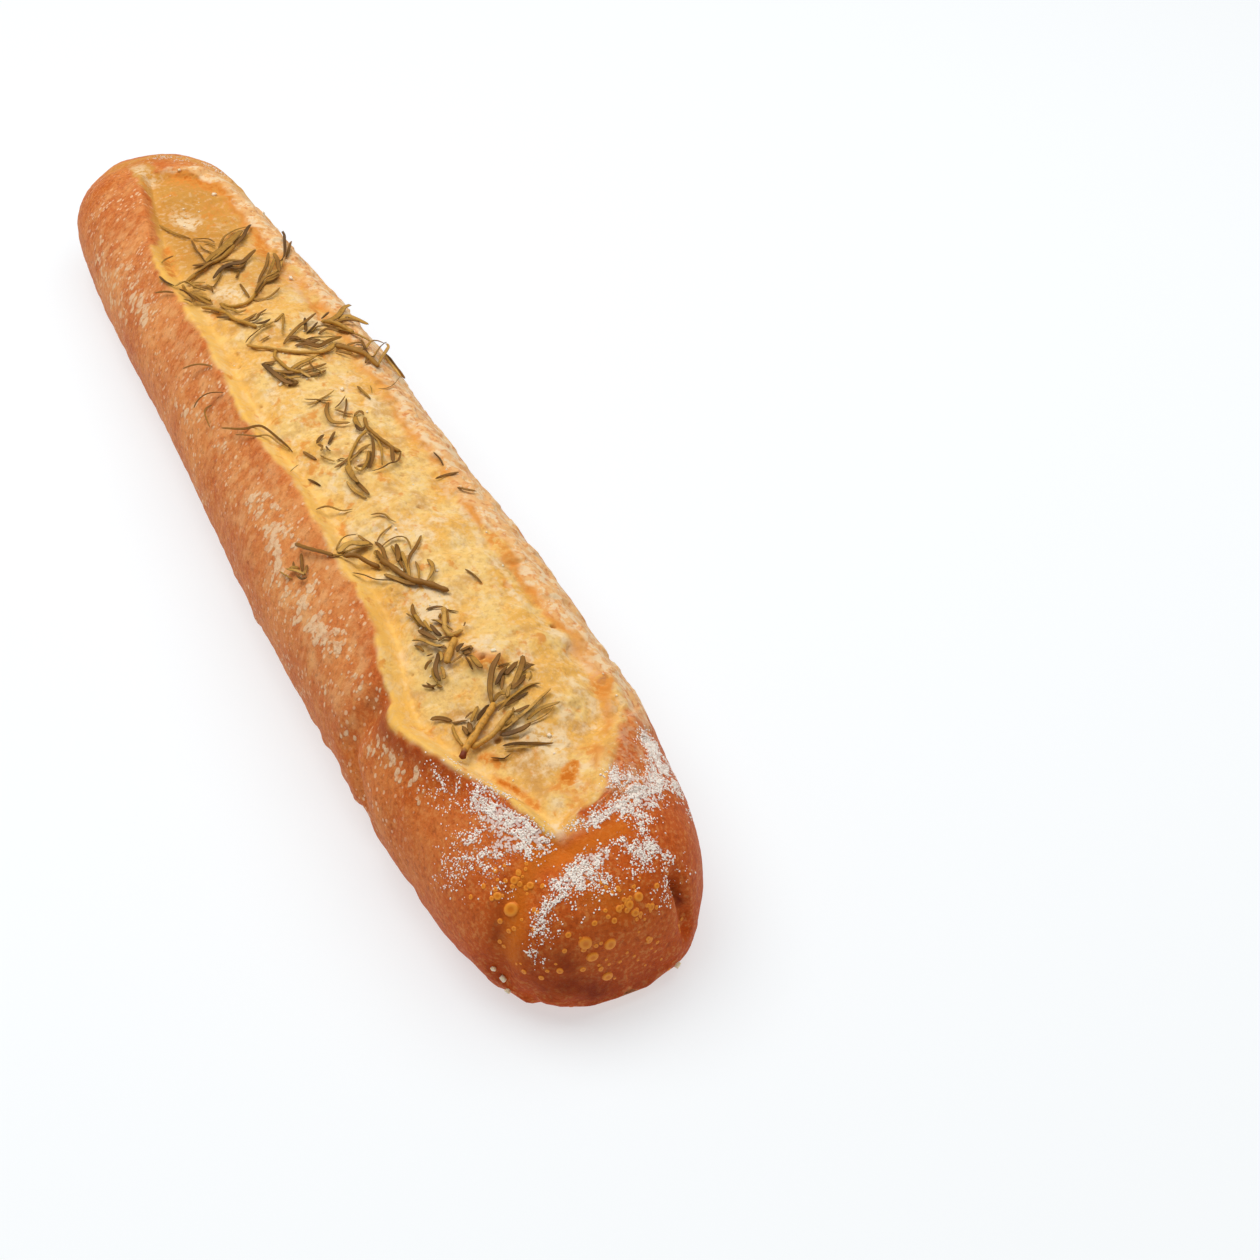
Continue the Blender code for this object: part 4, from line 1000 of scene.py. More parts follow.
def grain_material(name, colours, scale, roughness, subsurface=0.0):
    """A colour that varies a little, with fine bumps."""
    n = Nodes(name)
    light, dark = colours
    spot = n.millimetres()
    n.shade(Base_Color=n.mix(n.noise(spot, scale, 4.0, 0.6).to(0.35, 0.65), dark, light),
            Roughness=roughness, Subsurface_Weight=subsurface, Subsurface_Radius=(1.0, 0.6, 0.3),
            Subsurface_Scale=0.0015)
    n.bump(n.noise(spot, scale * 2.5), GRAIN_BUMPS[name])
    return n.made


def rosemary_material():
    """Dried leaves from dark brown through olive to tan, with painted shade along their edges, in their
    groove and underneath, and under the stems.
    """
    n = Nodes("rosemary")
    spot = n.millimetres()
    tone = n.mask("tone")
    step = 1 / (len(LEAF_TONES) - 1)
    colour = n.layered(LEAF_TONES[0], [
        *((tone.to(i * step, i * step + step), later) for i, later in enumerate(LEAF_TONES[1:])),
        (n.noise(spot, 0.9).to(0.45, 0.7, 0.0, 0.5), LEAF_BROWN),
        # painted shade along the needles' edges and undersides, and under the stems
        (n.mask("edge_shade") * EDGE_SHADE_SHARE, LEAF_EDGE_SHADE),
        (n.mask("cut"), CUT_END),
    ])
    n.shade(Base_Color=colour, Roughness=0.5, Specular_IOR_Level=0.22)
    n.bump(n.noise(spot, 2.2), LEAF_BUMP)
    return n.made


def blister_material():
    """Orange, lighter on the raised rim."""
    n = Nodes("blister")
    n.shade(Base_Color=n.mix(n.mask("tone").to(0.0, 1.0), *BLISTER_COLOURS), Roughness=0.38,
            Specular_IOR_Level=0.2)
    return n.made


# ---- rosemary --------------------------------------------------------------------------
REST = 0.06                   # clear space between a sprig and the crumb
NEEDLE_STEP = 1.1
STEM_STEP = 1.2
NEEDLE_THICKNESS = (0.55, 0.8)    # share of the width, and the most it may be
STACK = 0.7                   # how high a needle may lie above the crumb
STIFF_DROP = 0.3
PROBE = 0.5
TIP_LIFT = 0.9
NEEDLE_ENDS = (0.16, 0.72)    # its width follows a sine: where in the half turn, and how far
NEEDLE_BLUNT = (1.15, 0.35)   # how much that is widened, and the least width, in shares
NEEDLE_TWIST = (0.7, 0.8)     # the most it twists, in radians, and the same times its width
TONE_STRAY = 0.08             # how far a needle's tone strays from its own
TONE_WAVE = 0.10
CUT_TONE = 0.93               # a stem of this tone shows its cut end
STEM_SIDES = 8
STEM_SHADE = 0.7
KNOBS = (0.85, 1.15)          # a stem's width in shares of its own
# a needle's cross section: (across, up), with a groove along the top and rolled edges
NEEDLE_SECTION = np.array([(1.0, 0.0), (0.82, 0.55), (0.40, 0.62), (0.0, 0.18), (-0.40, 0.62),
                           (-0.82, 0.55), (-1.0, 0.0), (-0.6, -0.62), (0.0, -0.85), (0.6, -0.62)])
# painted shade at each corner of the section: darkest at the edges, the groove and the underside
NEEDLE_EDGE_SHADE = np.array([1.0, 0.40, 0.0, 0.15, 0.0, 0.40, 1.0, 1.0, 1.0, 1.0])
# stems, then needles; a row is width, tone, and the x and y of each of its corners
SPRIGS = {
    "rosemary_sprig_01": ([
        (1.1, 0.45, -80.5, -12, -86.7, -14.6, -92.4, -17.2, -97.9, -17.3),
        (1.43, 0.4, -98.4, -15.7, -100.9, -11, -103.7, -5, -105.7, 1, -111.9, 7.5),
    ], [
        (0.99, 0.35, -144.5, -11.6, -138.8, -9.4, -132.8, -7.4, -126.8, -4.6),
        (0.88, 0.4, -127.2, -4.5, -125.1, -1.3, -122.2, 0.9, -117.9, 1.8),
        (1.21, 0.15, -126.2, -4.6, -117.8, -5.5, -111.4, -5.6, -106.1, -5.8),
        (0.88, 0.75, -121.2, -3.2, -115.5, -2.7, -111.5, -0.9),
        (0.77, 0.6, -121.5, -1.6, -118.9, -0.1, -114.5, 1.2),
        (0.88, 0.35, -114.6, 2, -123.2, 7.3, -129.3, 13.1, -131, 19.6),
        (1.54, 0.15, -130.6, 19.6, -126.2, 16.7, -117.9, 12.1, -110.2, 6.6),
        (3.4, 0.55, -107.2, -3.9, -111.1, 1.2, -114.9, 5.5, -123.8, 14),
        (1.87, 0.5, -106.1, -5.8, -110.3, -0.6, -112.6, 4, -113.9, 7.8),
        (1.87, 0.3, -107.2, -10.5, -105.6, -7.5, -104.8, -3.1, -107.2, 1.5),
        (1.54, 0.45, -99, -15.5, -100.9, -11.8, -101.7, -8, -103.6, -2.8),
        (1.65, 0.1, -92.8, -7.2, -96.7, -2.8, -97.6, 1.3, -96.9, 5.6, -102.8, 12.7),
        (1.98, 0.35, -102.7, -1.5, -102.2, 1.4, -99.4, 4.2, -98.5, 6.9),
        (1.65, 0.05, -97.6, -2.5, -97.4, 0.5, -94.8, 3.4, -97.4, 7.3),
        (0.99, 0.4, -89, -8.5, -92.9, -5.2, -96.9, -2, -98.3, 0.8),
        (0.99, 0.25, -95.3, 3.2, -92.4, 1.8, -89.9, 0.3),
        (1.1, 0.15, -103.8, -23.6, -98.2, -23, -93.4, -21),
        (0.77, 0.35, -95.7, -28.1, -93.8, -25.8, -88.2, -22.8),
        (1.32, 0.55, -92.5, -21.2, -95.1, -16.4, -90.9, -14, -86.7, -11.5),
        (1.1, 0.65, -99, -16.3, -96, -13.4, -92.6, -9.9),
        (0.88, 0.5, -93.3, -15.1, -91.2, -11.5, -89, -8.1),
        (1.32, 0.2, -90.5, -20.5, -87, -18.1, -83.5, -16.4, -80.5, -14.4),
        (1.1, 0.45, -89.9, -18.6, -87.4, -15.9, -81.7, -13.9, -78, -12.1),
        (0.88, 0.1, -83.7, -21.1, -82.1, -19.5, -80.3, -19),
        (0.99, 0.3, -92, -10.1, -88.2, -9.5, -85.4, -9.7), (1.1, 0.2, -89.9, -17.2, -86, -17, -81.2, -18.1),
    ]),
    "rosemary_sprig_02": ([
        (1.26, 0.55, -78.6, -16.5, -74.3, -13.4, -67.7, -11, -60.7, -9.7, -55.7, -7.7, -50.4, -5.1),
    ], [
        (1.03, 0.2, -78.9, -16.4, -74.6, -14, -70, -12.5),
        (0.92, 0.25, -67.2, -14.6, -64, -11.5, -61.6, -9.7),
        (1.84, 0.3, -60.1, -9.9, -57.1, -7.2, -55.7, -4, -58.3, -0.9),
        (0.92, 0.35, -59.5, -2.4, -60.7, -0.1, -61.7, 2.4), (1.26, 0.1, -52.5, -5.1, -51.1, -2, -51.8, 0.5),
        (0.92, 0.5, -49.4, -4.7, -49.6, -1.8, -50.2, 1), (1.03, 0.4, -58.4, -9, -59.4, -4.9, -60.8, -1.6),
    ]),
    "rosemary_sprig_03": ([
        (1.15, 0.5, -77, -10.2, -72.6, -7.9, -71.1, -4.7, -71.5, -0.9, -75.9, 2.9, -81.6, 6.3),
        (1.03, 0.35, -74.5, 2.4, -80.5, 7.4, -84.2, 11.7, -87.9, 15.9),
    ], [
        (1.15, 0.3, -104, 17.5, -94.1, 13.3, -87.4, 9.1, -79.9, 5),
        (1.38, 0.1, -121.1, 28.2, -118.5, 28.4, -101.6, 22.8, -95.7, 18.9),
        (1.26, 0.2, -112.1, 28.9, -103.1, 24.7, -99.3, 22.4),
        (1.61, 0.4, -104.3, 19.4, -97.3, 18.5, -87.9, 15.9),
        (1.49, 0.35, -89.6, 16.1, -86.1, 12.4, -82.5, 8.1, -74.5, 2.4),
        (1.15, 0.3, -87.1, 15.6, -82.9, 11.9, -80.8, 8.6), (1.03, 0.25, -84.6, 0, -79.4, 0, -74.2, 0.1),
        (0.92, 0.5, -73, -0.7, -72, 2.3, -71.4, 6.1, -75.8, 12),
        (1.03, 0.45, -77, -10.2, -71.6, -9.7, -66.4, -8.1, -64, -7.1, -63.8, -4.2),
        (0.92, 0.3, -71.7, -7.4, -68, -7.2, -66.7, -6.5), (1.15, 0.35, -98, 17.8, -90.8, 14, -85.1, 10.5),
        (1.03, 0.5, -98, 20.8, -89.8, 16.5, -84.8, 13),
    ]),
    "rosemary_sprig_04": ([
        (1.21, 0.6, -44.4, -11.4, -40.4, -8.5, -34, -2.1, -30.4, 3.5, -28.6, 8.7, -29.4, 13.2, -32, 15.5),
        (1.65, 0.35, -32.3, 15.6, -30.8, 18, -28, 21.2, -24.3, 23.6, -19.2, 24.2, -14.6, 24.9),
        (1.54, 0.55, -47, 16.4, -45.9, 19.4, -43.1, 22.7, -37.9, 25),
    ], [
        (1.21, 0.2, -37.3, -0.5, -41.2, 3.5, -44.5, 7.8, -46.7, 11.2, -50.5, 16.4),
        (1.21, 0.05, -50.6, 12, -45.6, 10.5, -40.8, 9), (1.21, 0.1, -40.8, 9, -43.4, 12.5, -46.1, 15.2),
        (2, 0.45, -47.4, 16.6, -47.2, 19.5, -50.5, 23.7, -57.6, 29.3, -58, 31.9),
        (1.21, 0.1, -48.8, 17.3, -51.3, 20.1, -53.5, 21.8),
        (2.2, 0.55, -47.9, 22.8, -51.2, 27.4, -48.4, 30.4, -44.9, 33),
        (1.43, 0.3, -45, 19.1, -46.9, 23.3, -47, 26.7, -44.5, 29.8),
        (1.21, 0.55, -44.6, 19.8, -41.9, 22.2, -37.9, 25, -31.7, 29.2),
        (0.99, 0.2, -39.8, 12.9, -42, 17.1, -39.7, 20.5),
        (1.43, 0.35, -35.4, 2.7, -34.9, 6.8, -32.7, 10.2, -35, 15.3, -36.9, 20.3),
        (1.1, 0.7, -37.2, 5.9, -37.9, 9.6, -36.6, 14.2, -36.6, 18.1),
        (1.21, 0.3, -40.4, 3.7, -38.2, 6.3, -35.7, 8.8, -35.9, 12.3),
        (1.1, 0.65, -29.1, 7.2, -29.2, 10.6, -31.2, 13.9, -32.7, 16.6),
        (1.87, 0.3, -33.5, 16, -31.5, 18.2, -28.7, 21.4, -26.5, 24.5),
        (1.1, 0.4, -29, 14.7, -27.1, 17.4, -25.6, 19.8), (0.99, 0.3, -33.1, 20.1, -32.5, 23.4, -30.6, 25.8),
        (1.1, 0.15, -33.1, 25.7, -29.5, 25.2, -26.4, 24.9), (0.99, 0.55, -27.2, 24.8, -32.4, 30, -30, 33),
        (1.21, 0.7, -34.2, 34.7, -30.7, 34.4, -21.8, 28.9, -15.3, 24.8),
        (1.1, 0.35, -26.4, 24.9, -22.4, 25.8, -30.8, 32.2, -32.7, 34.7),
        (1.1, 0.1, -19.2, 21.6, -21.9, 23.5, -25.6, 24.6),
        (1.21, 0.15, -33.3, 33, -28.6, 33.8, -21.9, 34, -15.6, 34),
        (0.99, 0.65, -30.4, 32.4, -22.6, 31.7, -16.4, 31.4, -11.6, 31.4),
        (0.88, 0.5, -43.2, -6.7, -44.1, -4.5, -44.5, -2.6), (0.99, 0.4, -50.9, 1.1, -52.4, 3.4, -54.6, 6),
        (0.88, 0.45, -54.6, 6, -49, 3.7, -42.8, 1.1),
        (0.99, 0.4, -44.8, -11.4, -46.4, -9.7, -47.5, -7.1, -49.6, -2.4),
        (1.21, 0.1, -52, -4.2, -51.4, -2, -52, 0.6), (1.1, 0.45, -40.8, 10.7, -43.7, 14.3, -43, 16.6),
        (1.21, 0.3, -39.6, 0.8, -40, 3.1, -39, 4.9, -36.8, 5.8),
    ]),
    "rosemary_sprig_05": ([
        (1.21, 0.45, -35.2, -3.8, -31.7, -5.6, -28.5, -5.3, -24.6, -4.6, -21.6, -3.6, -18.5, -1),
    ], [
        (1.21, 0.25, -29.9, -10.8, -28.8, -8.7, -28.8, -6.1),
        (1.65, 0.2, -29.5, -11, -24.5, -9.7, -20.5, -8.7, -16.3, -7.3, -14.1, -5.2),
        (1.32, 0.4, -25.3, -9.9, -23, -6.9, -20.2, -3.7, -21, 0),
        (1.65, 0.45, -21.5, -4.1, -23.8, 0.2, -24.8, 3.9, -25.8, 7.6),
        (1.21, 0.35, -20.3, -2, -19.6, 1.1, -20, 5.5, -21, 8.8),
        (1.1, 0.7, -20.3, -1.6, -17.5, -0.1, -14.9, 1),
        (1.1, 0.15, -18.4, -1, -17.2, 1.9, -17.3, 5.7, -18.1, 7.5),
        (1.21, 0.3, -23, -6.9, -18.9, -5.9, -16.5, -4.7, -14.2, -3.5),
        (0.88, 0.35, -24.5, 3.8, -20.4, 3.6, -17, 5.2, -14.9, 4.8),
        (1.21, 0.2, -24.9, -9.2, -22.6, -8.8, -20.7, -9.1),
        (1.21, 0.5, -19.7, -7.3, -18, -5.4, -17.5, -3.1, -16.2, -1.9),
        (0.99, 0.1, -15.5, -7.2, -15.3, -5.6, -14.2, -3.5), (0.77, 0.4, -27, 7.7, -26.1, 8.6, -24.9, 9.2),
        (1.1, 0.3, -28.1, -11, -28.4, -9.2, -25.7, -8),
    ]),
    "rosemary_sprig_06": ([
        (1.3, 0.35, 14.2, 8.3, 19.1, 7.2, 22.3, 7.4, 26.5, 8.2, 30.5, 9.6, 33.8, 10.7, 36.4, 12.1),
        (1.04, 0.5, 22.8, 5.8, 25.9, 2.4, 29.4, -0.7, 32.5, -3.2, 35.3, -5.1, 38.3, -6.1, 43.6, -6.5),
    ], [
        (0.78, 0.4, -4, -5.6, -1.7, -3.4, -0.1, -1.5, 1.5, 0, 2.5, 2.1),
        (0.78, 0.45, 0, -6.1, 0.5, -3.7, -0.4, -1.4, -1.1, 1.5, -2.7, 4.7),
        (1.43, 0.3, 2.2, 0.7, 5.2, -1.2, 8.7, -2.1, 12, -1.8, 14.3, 0.1, 16, 2.9),
        (0.78, 0.25, 5.9, 1.3, 4.8, 3.2, 3, 5.4, 1.4, 7), (0.78, 0.2, 1.4, 7, 4.8, 5.8, 8.1, 4, 11.5, 2),
        (0.78, 0.3, 6.3, 1.1, 7.9, 2.6, 9.5, 3.9, 10.9, 5.9),
        (0.91, 0.35, 11.7, 5.6, 10.3, 7.4, 10.9, 8.6, 14.2, 8.3),
        (1.82, 0.55, 11.8, 5.8, 15.7, 4.8, 19.3, 4.4, 21.8, 4.7),
        (1.17, 0.05, 17.5, 3.8, 20.1, 3.8, 22, 4.6, 20.9, 6),
        (1.04, 0.1, 23.7, 5.6, 26.5, 6, 31, 4.8, 35, 3.2, 39.2, 1, 43, -1.3),
        (0.78, 0.45, 24.2, 6.2, 27.5, 7.3, 32, 6.8, 37.1, 5.2, 42.1, 3.2),
        (0.78, 0.55, 33.1, -1.2, 32, -0.1, 31.2, 2, 30.7, 4.4),
        (0.78, 0.35, 34.2, -4.4, 33.8, -2.2, 32.5, 0.2, 32.8, 2.3),
        (0.78, 0.5, 36.6, -5.6, 35.2, -3.1, 34.3, -1),
        (1.04, 0.5, 32.9, 2.4, 36.6, 0.7, 39.4, -1.3, 42.4, -4),
        (0.78, 0.2, 38.3, -4.1, 38.7, -1.8, 39.9, -0.5), (1.3, 0.2, 32.5, 10.3, 36.7, 8.8, 41.4, 7.2),
        (0.78, 0.1, 35.9, 11.9, 38.7, 10.4, 41.1, 8.5, 42.1, 5.7, 44.2, 2.4, 44.5, -1.4),
        (0.91, 0.4, 36.5, -10.6, 36.1, -8.4, 35.4, -6.1, 34.3, -4.2),
        (0.78, 0.3, 27.7, -12, 31, -10.8, 34.2, -9.1), (0.78, 0.3, 33.3, -8.8, 33.1, -6.9, 35, -6),
        (1.04, 0.15, 22.9, -11.3, 21, -9.5, 19.6, -7.2), (1.17, 0.1, 18.6, -3.4, 21.9, -5.8, 24.7, -8.1),
        (0.91, 0.3, 23.6, -11.2, 25.3, -10.2, 28.2, -11.7), (0.78, 0.2, 25, -8.9, 27.3, -9.1, 29.4, -8.7),
        (1.82, 0.45, 37.1, -6.8, 40.5, -7.2, 44, -7.1, 47, -6.6),
        (1.17, 0.6, 43.1, -9.2, 47.1, -8.9, 51.2, -8.1, 54.9, -7.1),
        (1.43, 0.2, 44.6, -6.8, 48.7, -6.3, 54.4, -6),
        (1.04, 0.15, 33.3, 2.6, 36.3, 2.2, 39.6, 0.1, 42.4, -1.8),
        (0.91, 0.6, 39.1, -4.9, 41.3, -4.5, 42.9, -3.7),
    ]),
    "rosemary_sprig_07": ([
        (1.15, 0.25, 61, -33.2, 66.6, -31.2, 72.4, -28.4, 76.3, -26.1),
        (1.38, 0.2, 78.2, -24.1, 78.9, -20.3, 82.2, -17.9, 85.6, -15.2),
        (1.72, 0.25, 84.3, -14.7, 89.1, -13.3, 94.1, -11.8, 98.3, -10, 100, -8.2, 102.5, -5.7, 106.7, -2.2),
    ], [
        (1.03, 0.3, 75.5, -26.2, 76.8, -24.9, 77.8, -23.6),
        (0.8, 0.4, 63.1, -9.3, 63.6, -7.3, 65.7, -5.5, 68.9, -5, 71.3, -3.9),
        (0.57, 0.45, 70.7, -5, 72, -8.1, 73.8, -10.7, 75.9, -12.4),
        (0.92, 0.5, 73.9, -24.5, 68.1, -19.7, 68.8, -15.8),
        (0.92, 0.4, 68.8, -15.8, 72.7, -14.8, 76.4, -13.6),
        (2.9, 0.6, 76, -24.6, 72.4, -19.9, 73.4, -16.5, 75, -13.8),
        (0.92, 0.35, 76, -23.3, 74.9, -18.7, 75.2, -15.8, 76.6, -13.7),
        (0.8, 0.2, 85.7, -24.2, 88.1, -21, 92, -18.2, 95, -14.7),
        (1.38, 0.4, 90.7, -16.2, 94.1, -14, 97.6, -11.9, 100.3, -9.4),
        (1.72, 0.15, 78.2, -13.3, 82.2, -13.8, 87.9, -13.6, 93, -12),
        (1.15, 0.25, 74.1, -12.5, 77.8, -11.6, 82.3, -12.4, 86.9, -13.5),
        (0.8, 0.5, 78, -11.7, 76.7, -9, 76.6, -6, 78.6, -4.2, 82.8, -4.5, 85.6, -5.3),
        (1.72, 0.15, 79.1, -7.4, 82.3, -8.3, 86, -9.5, 88.8, -11),
        (1.26, 0.45, 78.4, -8.8, 82.3, -9.1, 88.2, -10, 93.6, -10.5),
        (1.03, 0.4, 80, 0.4, 83.9, -2.8, 88, -6.7, 92.4, -9.2),
        (1.38, 0.55, 84.1, -7.6, 88.1, -8.5, 92.4, -9.2, 96.8, -10.4),
        (0.8, 0.3, 90.4, -6, 93.9, -6.5, 97.3, -7.7, 99.9, -8.9),
        (1.38, 0.5, 91.5, -2.7, 94.4, -2.3, 97.4, -3.5, 100.9, -6.8),
        (0.8, 0.45, 78, -13.6, 79.5, -14.6, 81.4, -14.2),
        (1.15, 0.45, 85.9, -14.2, 89.9, -12.9, 93.1, -11.4),
        (0.92, 0.2, 80.8, -14, 84.4, -14.3, 88.4, -14.5),
    ]),
    "rosemary_sprig_08": ([
        (1.95, 0.9, 124.9, -8.2, 126.3, -9.6, 128, -11.1, 129.6, -12.4, 131.5, -13.8, 132.9, -14.6),
        (1.2, 0.8, 123.4, -8.7, 123.2, -7.1, 123.1, -5),
        (1.5, 0.7, 112.3, -6.4, 114.8, -7.4, 117.7, -8.6, 120.8, -9.7, 123.2, -9.5, 124.5, -8.4),
    ], [
        (1.35, 0.3, 105, -13.2, 107.1, -14.1, 109.4, -14.7, 112.7, -14.9, 116, -14.8),
        (0.9, 0.3, 107.3, -16.2, 110.1, -15.7, 112.8, -15.5, 116.1, -15.8),
        (1.35, 0.45, 110.3, -14.8, 113.3, -14.9, 116.2, -14.9, 118.8, -14.4),
        (0.9, 0.2, 110.4, -11.2, 110.5, -9.6, 111.1, -8.1, 112.4, -6.4),
        (0.75, 0.4, 112.4, -6.4, 114.3, -4.6, 115.4, -3), (0.6, 0.25, 113.5, -5.8, 116.5, -7, 119.6, -8.1),
        (0.75, 0.35, 114, -8.1, 115.3, -9, 116.6, -9.9),
        (1.35, 0.45, 115.7, -12, 116.9, -10.6, 118.7, -9.9, 120.5, -8.8, 122.9, -8.2),
        (1.2, 0.1, 116.7, -12.7, 119.1, -12.5, 121.3, -12.2, 122.7, -11.5),
        (1.2, 0.4, 114.3, -13.6, 116.4, -13.8, 119, -13.8, 120.9, -13.5),
        (1.35, 0.3, 117.3, -16.8, 119, -15.7, 121, -14.7, 123.8, -13.3),
        (0.9, 0.1, 123.8, -13.3, 123.2, -11.9, 123.5, -10.5, 124.7, -9),
        (0.6, 0.3, 120.5, -3.4, 121.7, -4.1, 122.9, -4.9),
        (1.35, 0.6, 119.6, -19.6, 119.9, -18.4, 121.5, -16.8, 123.9, -15.6, 125.9, -14.2, 126.9, -12.4),
        (0.9, 0.25, 120.4, -19.4, 122, -18.4, 123.8, -18.2, 125, -18),
        (0.9, 0.1, 122.9, -15, 124.9, -14.2, 126.6, -13.4),
        (0.75, 0.25, 124.1, -13.3, 125.7, -12.7, 127.4, -12),
        (1.35, 0.15, 126.8, -14.7, 128.8, -15.6, 130.6, -17, 132.3, -17.9, 134.8, -18.3, 136.7, -18.2),
        (0.9, 0.4, 128, -16.9, 128.6, -18.5, 129.7, -19.7, 131, -20.5),
        (0.9, 0.65, 130.1, -17.6, 132.1, -18.7, 134.5, -19.3, 137.2, -19.2),
        (1.2, 0.55, 131.5, -15.9, 133.6, -16.2, 135.9, -16.8, 136.8, -17.7),
        (1.2, 0.2, 130.9, -10.6, 129.4, -9.4, 128.9, -7.4),
        (1.5, 0.35, 130.8, -9.6, 130.8, -8.1, 130.7, -6.4, 132.3, -6.5),
        (1.2, 0.25, 131.9, -9.3, 132, -7.9, 133.4, -7.2),
        (0.75, 0.4, 133.1, -14, 132.9, -12.2, 132.5, -10.4, 132, -9.2),
        (1.05, 0.25, 132.7, -8.9, 135.1, -8.9, 137.3, -9.2, 139, -9.4),
        (1.8, 0.3, 133.6, -7.7, 135.9, -7.4, 138.1, -7.2, 139.9, -6.8),
        (0.75, 0.15, 133.7, -22.9, 135.3, -22.1, 136.4, -20.7, 136.6, -19.6),
        (0.9, 0.05, 133.4, -21.4, 135.4, -20.8, 137.3, -20.6),
        (1.05, 0.45, 135.6, -19.4, 137.1, -18.9, 138.6, -18.5),
        (1.05, 0.65, 126.4, -14.3, 127.9, -14.2, 129.4, -14.7, 131, -15.6),
        (0.9, 0.35, 126.5, -16, 126.5, -17.2, 126.8, -18.2),
    ]),
    "rosemary_sprig_09": ([
        (1.98, 0.95, 164.3, -24.4, 161.7, -22.1, 160.3, -20, 158.9, -17.7, 156.8, -15, 154.7, -12.3, 153,
         -10.1, 151.2, -8.5),
        (1.65, 0.85, 160.9, -20.6, 161.4, -18.5, 161.4, -16.3, 161, -13.6, 159.6, -10.6, 158, -7.9, 156.8,
         -5.3), (0.99, 0.5, 159.9, -21.8, 156.2, -22.1, 153.4, -21.9, 151.3, -21.3),
    ], [
        (1.76, 0.35, 152, -9.5, 147.5, -8.1, 144.1, -6.4, 140.9, -4.2, 138.9, -1.8, 137.3, -0.1),
        (1.43, 0.1, 146.4, -5.9, 144.3, -3.7, 142.9, -2.2, 141.6, 0.1),
        (0.77, 0.25, 140.2, -2.4, 139.9, -0.5, 140.4, 1.7),
        (0.99, 0.4, 143.8, -2.1, 146.5, -3.9, 149.2, -5.3),
        (1.43, 0.3, 144.8, -2.3, 143.3, -0.1, 141.5, 3.3),
        (1.76, 0.35, 139.5, 5.6, 142.1, 4.5, 145.2, 2.2, 148, -0.3, 149.8, -2.6),
        (0.99, 0.25, 142.4, 4.6, 144.1, 5.5, 145.2, 6.9), (0.88, 0.2, 146, 2.1, 145.2, 4.2, 145.1, 6.2),
        (0.66, 0.35, 146.4, 4.7, 148.5, 4.2, 150.4, 2.3),
        (1.21, 0.25, 146.9, 3.2, 148.4, 1.2, 149.7, -1.1, 150.9, -3.4),
        (1.43, 0.4, 151.5, 5.6, 150.7, 3.3, 151, 0.6, 151.8, -2.1, 152.7, -4.8, 154.3, -7.3, 155.4, -9.4),
        (0.88, 0.02, 152.5, 1.3, 153.4, -2, 154.2, -4.9, 155, -7.4),
        (1.21, 0.5, 151.7, -8.9, 150, -7.4, 149.7, -5.4, 151.4, -5.1),
        (1.21, 0.1, 150.6, -9.8, 151.8, -11.8, 153.2, -13.9, 155, -15.6),
        (1.32, 0.45, 149.2, -12.6, 150.8, -14.1, 152.7, -15.7, 154.8, -17.2),
        (0.66, 0.3, 151.3, -17.6, 150.3, -15.4, 151.1, -13.7),
        (1.32, 0.3, 145.9, -25.7, 146.3, -24.2, 147.7, -22.5, 150.1, -20.7),
        (0.88, 0.25, 150.3, -21.1, 151, -20, 151.4, -18.5, 152, -16.9),
        (0.77, 0.3, 153.1, -21.8, 156.2, -22.1, 159.7, -21.9),
        (1.21, 0.3, 153, -19.2, 155.3, -19.1, 157.4, -19.4),
        (1.43, 0.35, 152.7, -17.2, 155.2, -17.7, 157.4, -18.7),
        (0.88, 0.1, 158.9, -20.5, 157.7, -18.5, 156.3, -16.7, 155.4, -15),
        (1.43, 0.7, 160.8, -11.8, 160.5, -9.1, 159.9, -6.5, 159.6, -3.5),
        (0.99, 0.2, 157.7, -5.8, 157.7, -3.5, 157.2, -0.5),
        (0.66, 0.35, 155.3, -4.6, 157, -5.6, 158.3, -6.5),
        (1.32, 0.8, 160.3, -5.6, 159.2, -3.4, 158.1, -0.3, 156.7, 3, 155.2, 7),
        (1.1, 0.6, 161.6, -3.7, 160.2, -0.5, 159.8, 2.6, 160.5, 7.2),
        (0.66, 0.5, 162.2, -4.3, 162.4, -0.9, 161.9, 2.7, 160.5, 5.2),
        (1.65, 0.1, 162, -12.1, 163.1, -8.6, 163.7, -5.5, 163.2, -3),
        (0.99, 0.55, 153.5, -10, 152.5, -7.8, 152.2, -5.1, 150, -3.6),
        (1.1, 0.6, 152.2, -5.1, 149.7, -3.4, 148.4, -1.1),
        (0.99, 0.5, 160.5, -9.7, 159.5, -7.2, 158.3, -5.8),
        (0.99, 0.3, 154, -12.8, 155.3, -14.6, 157.9, -17.5),
    ]),
}
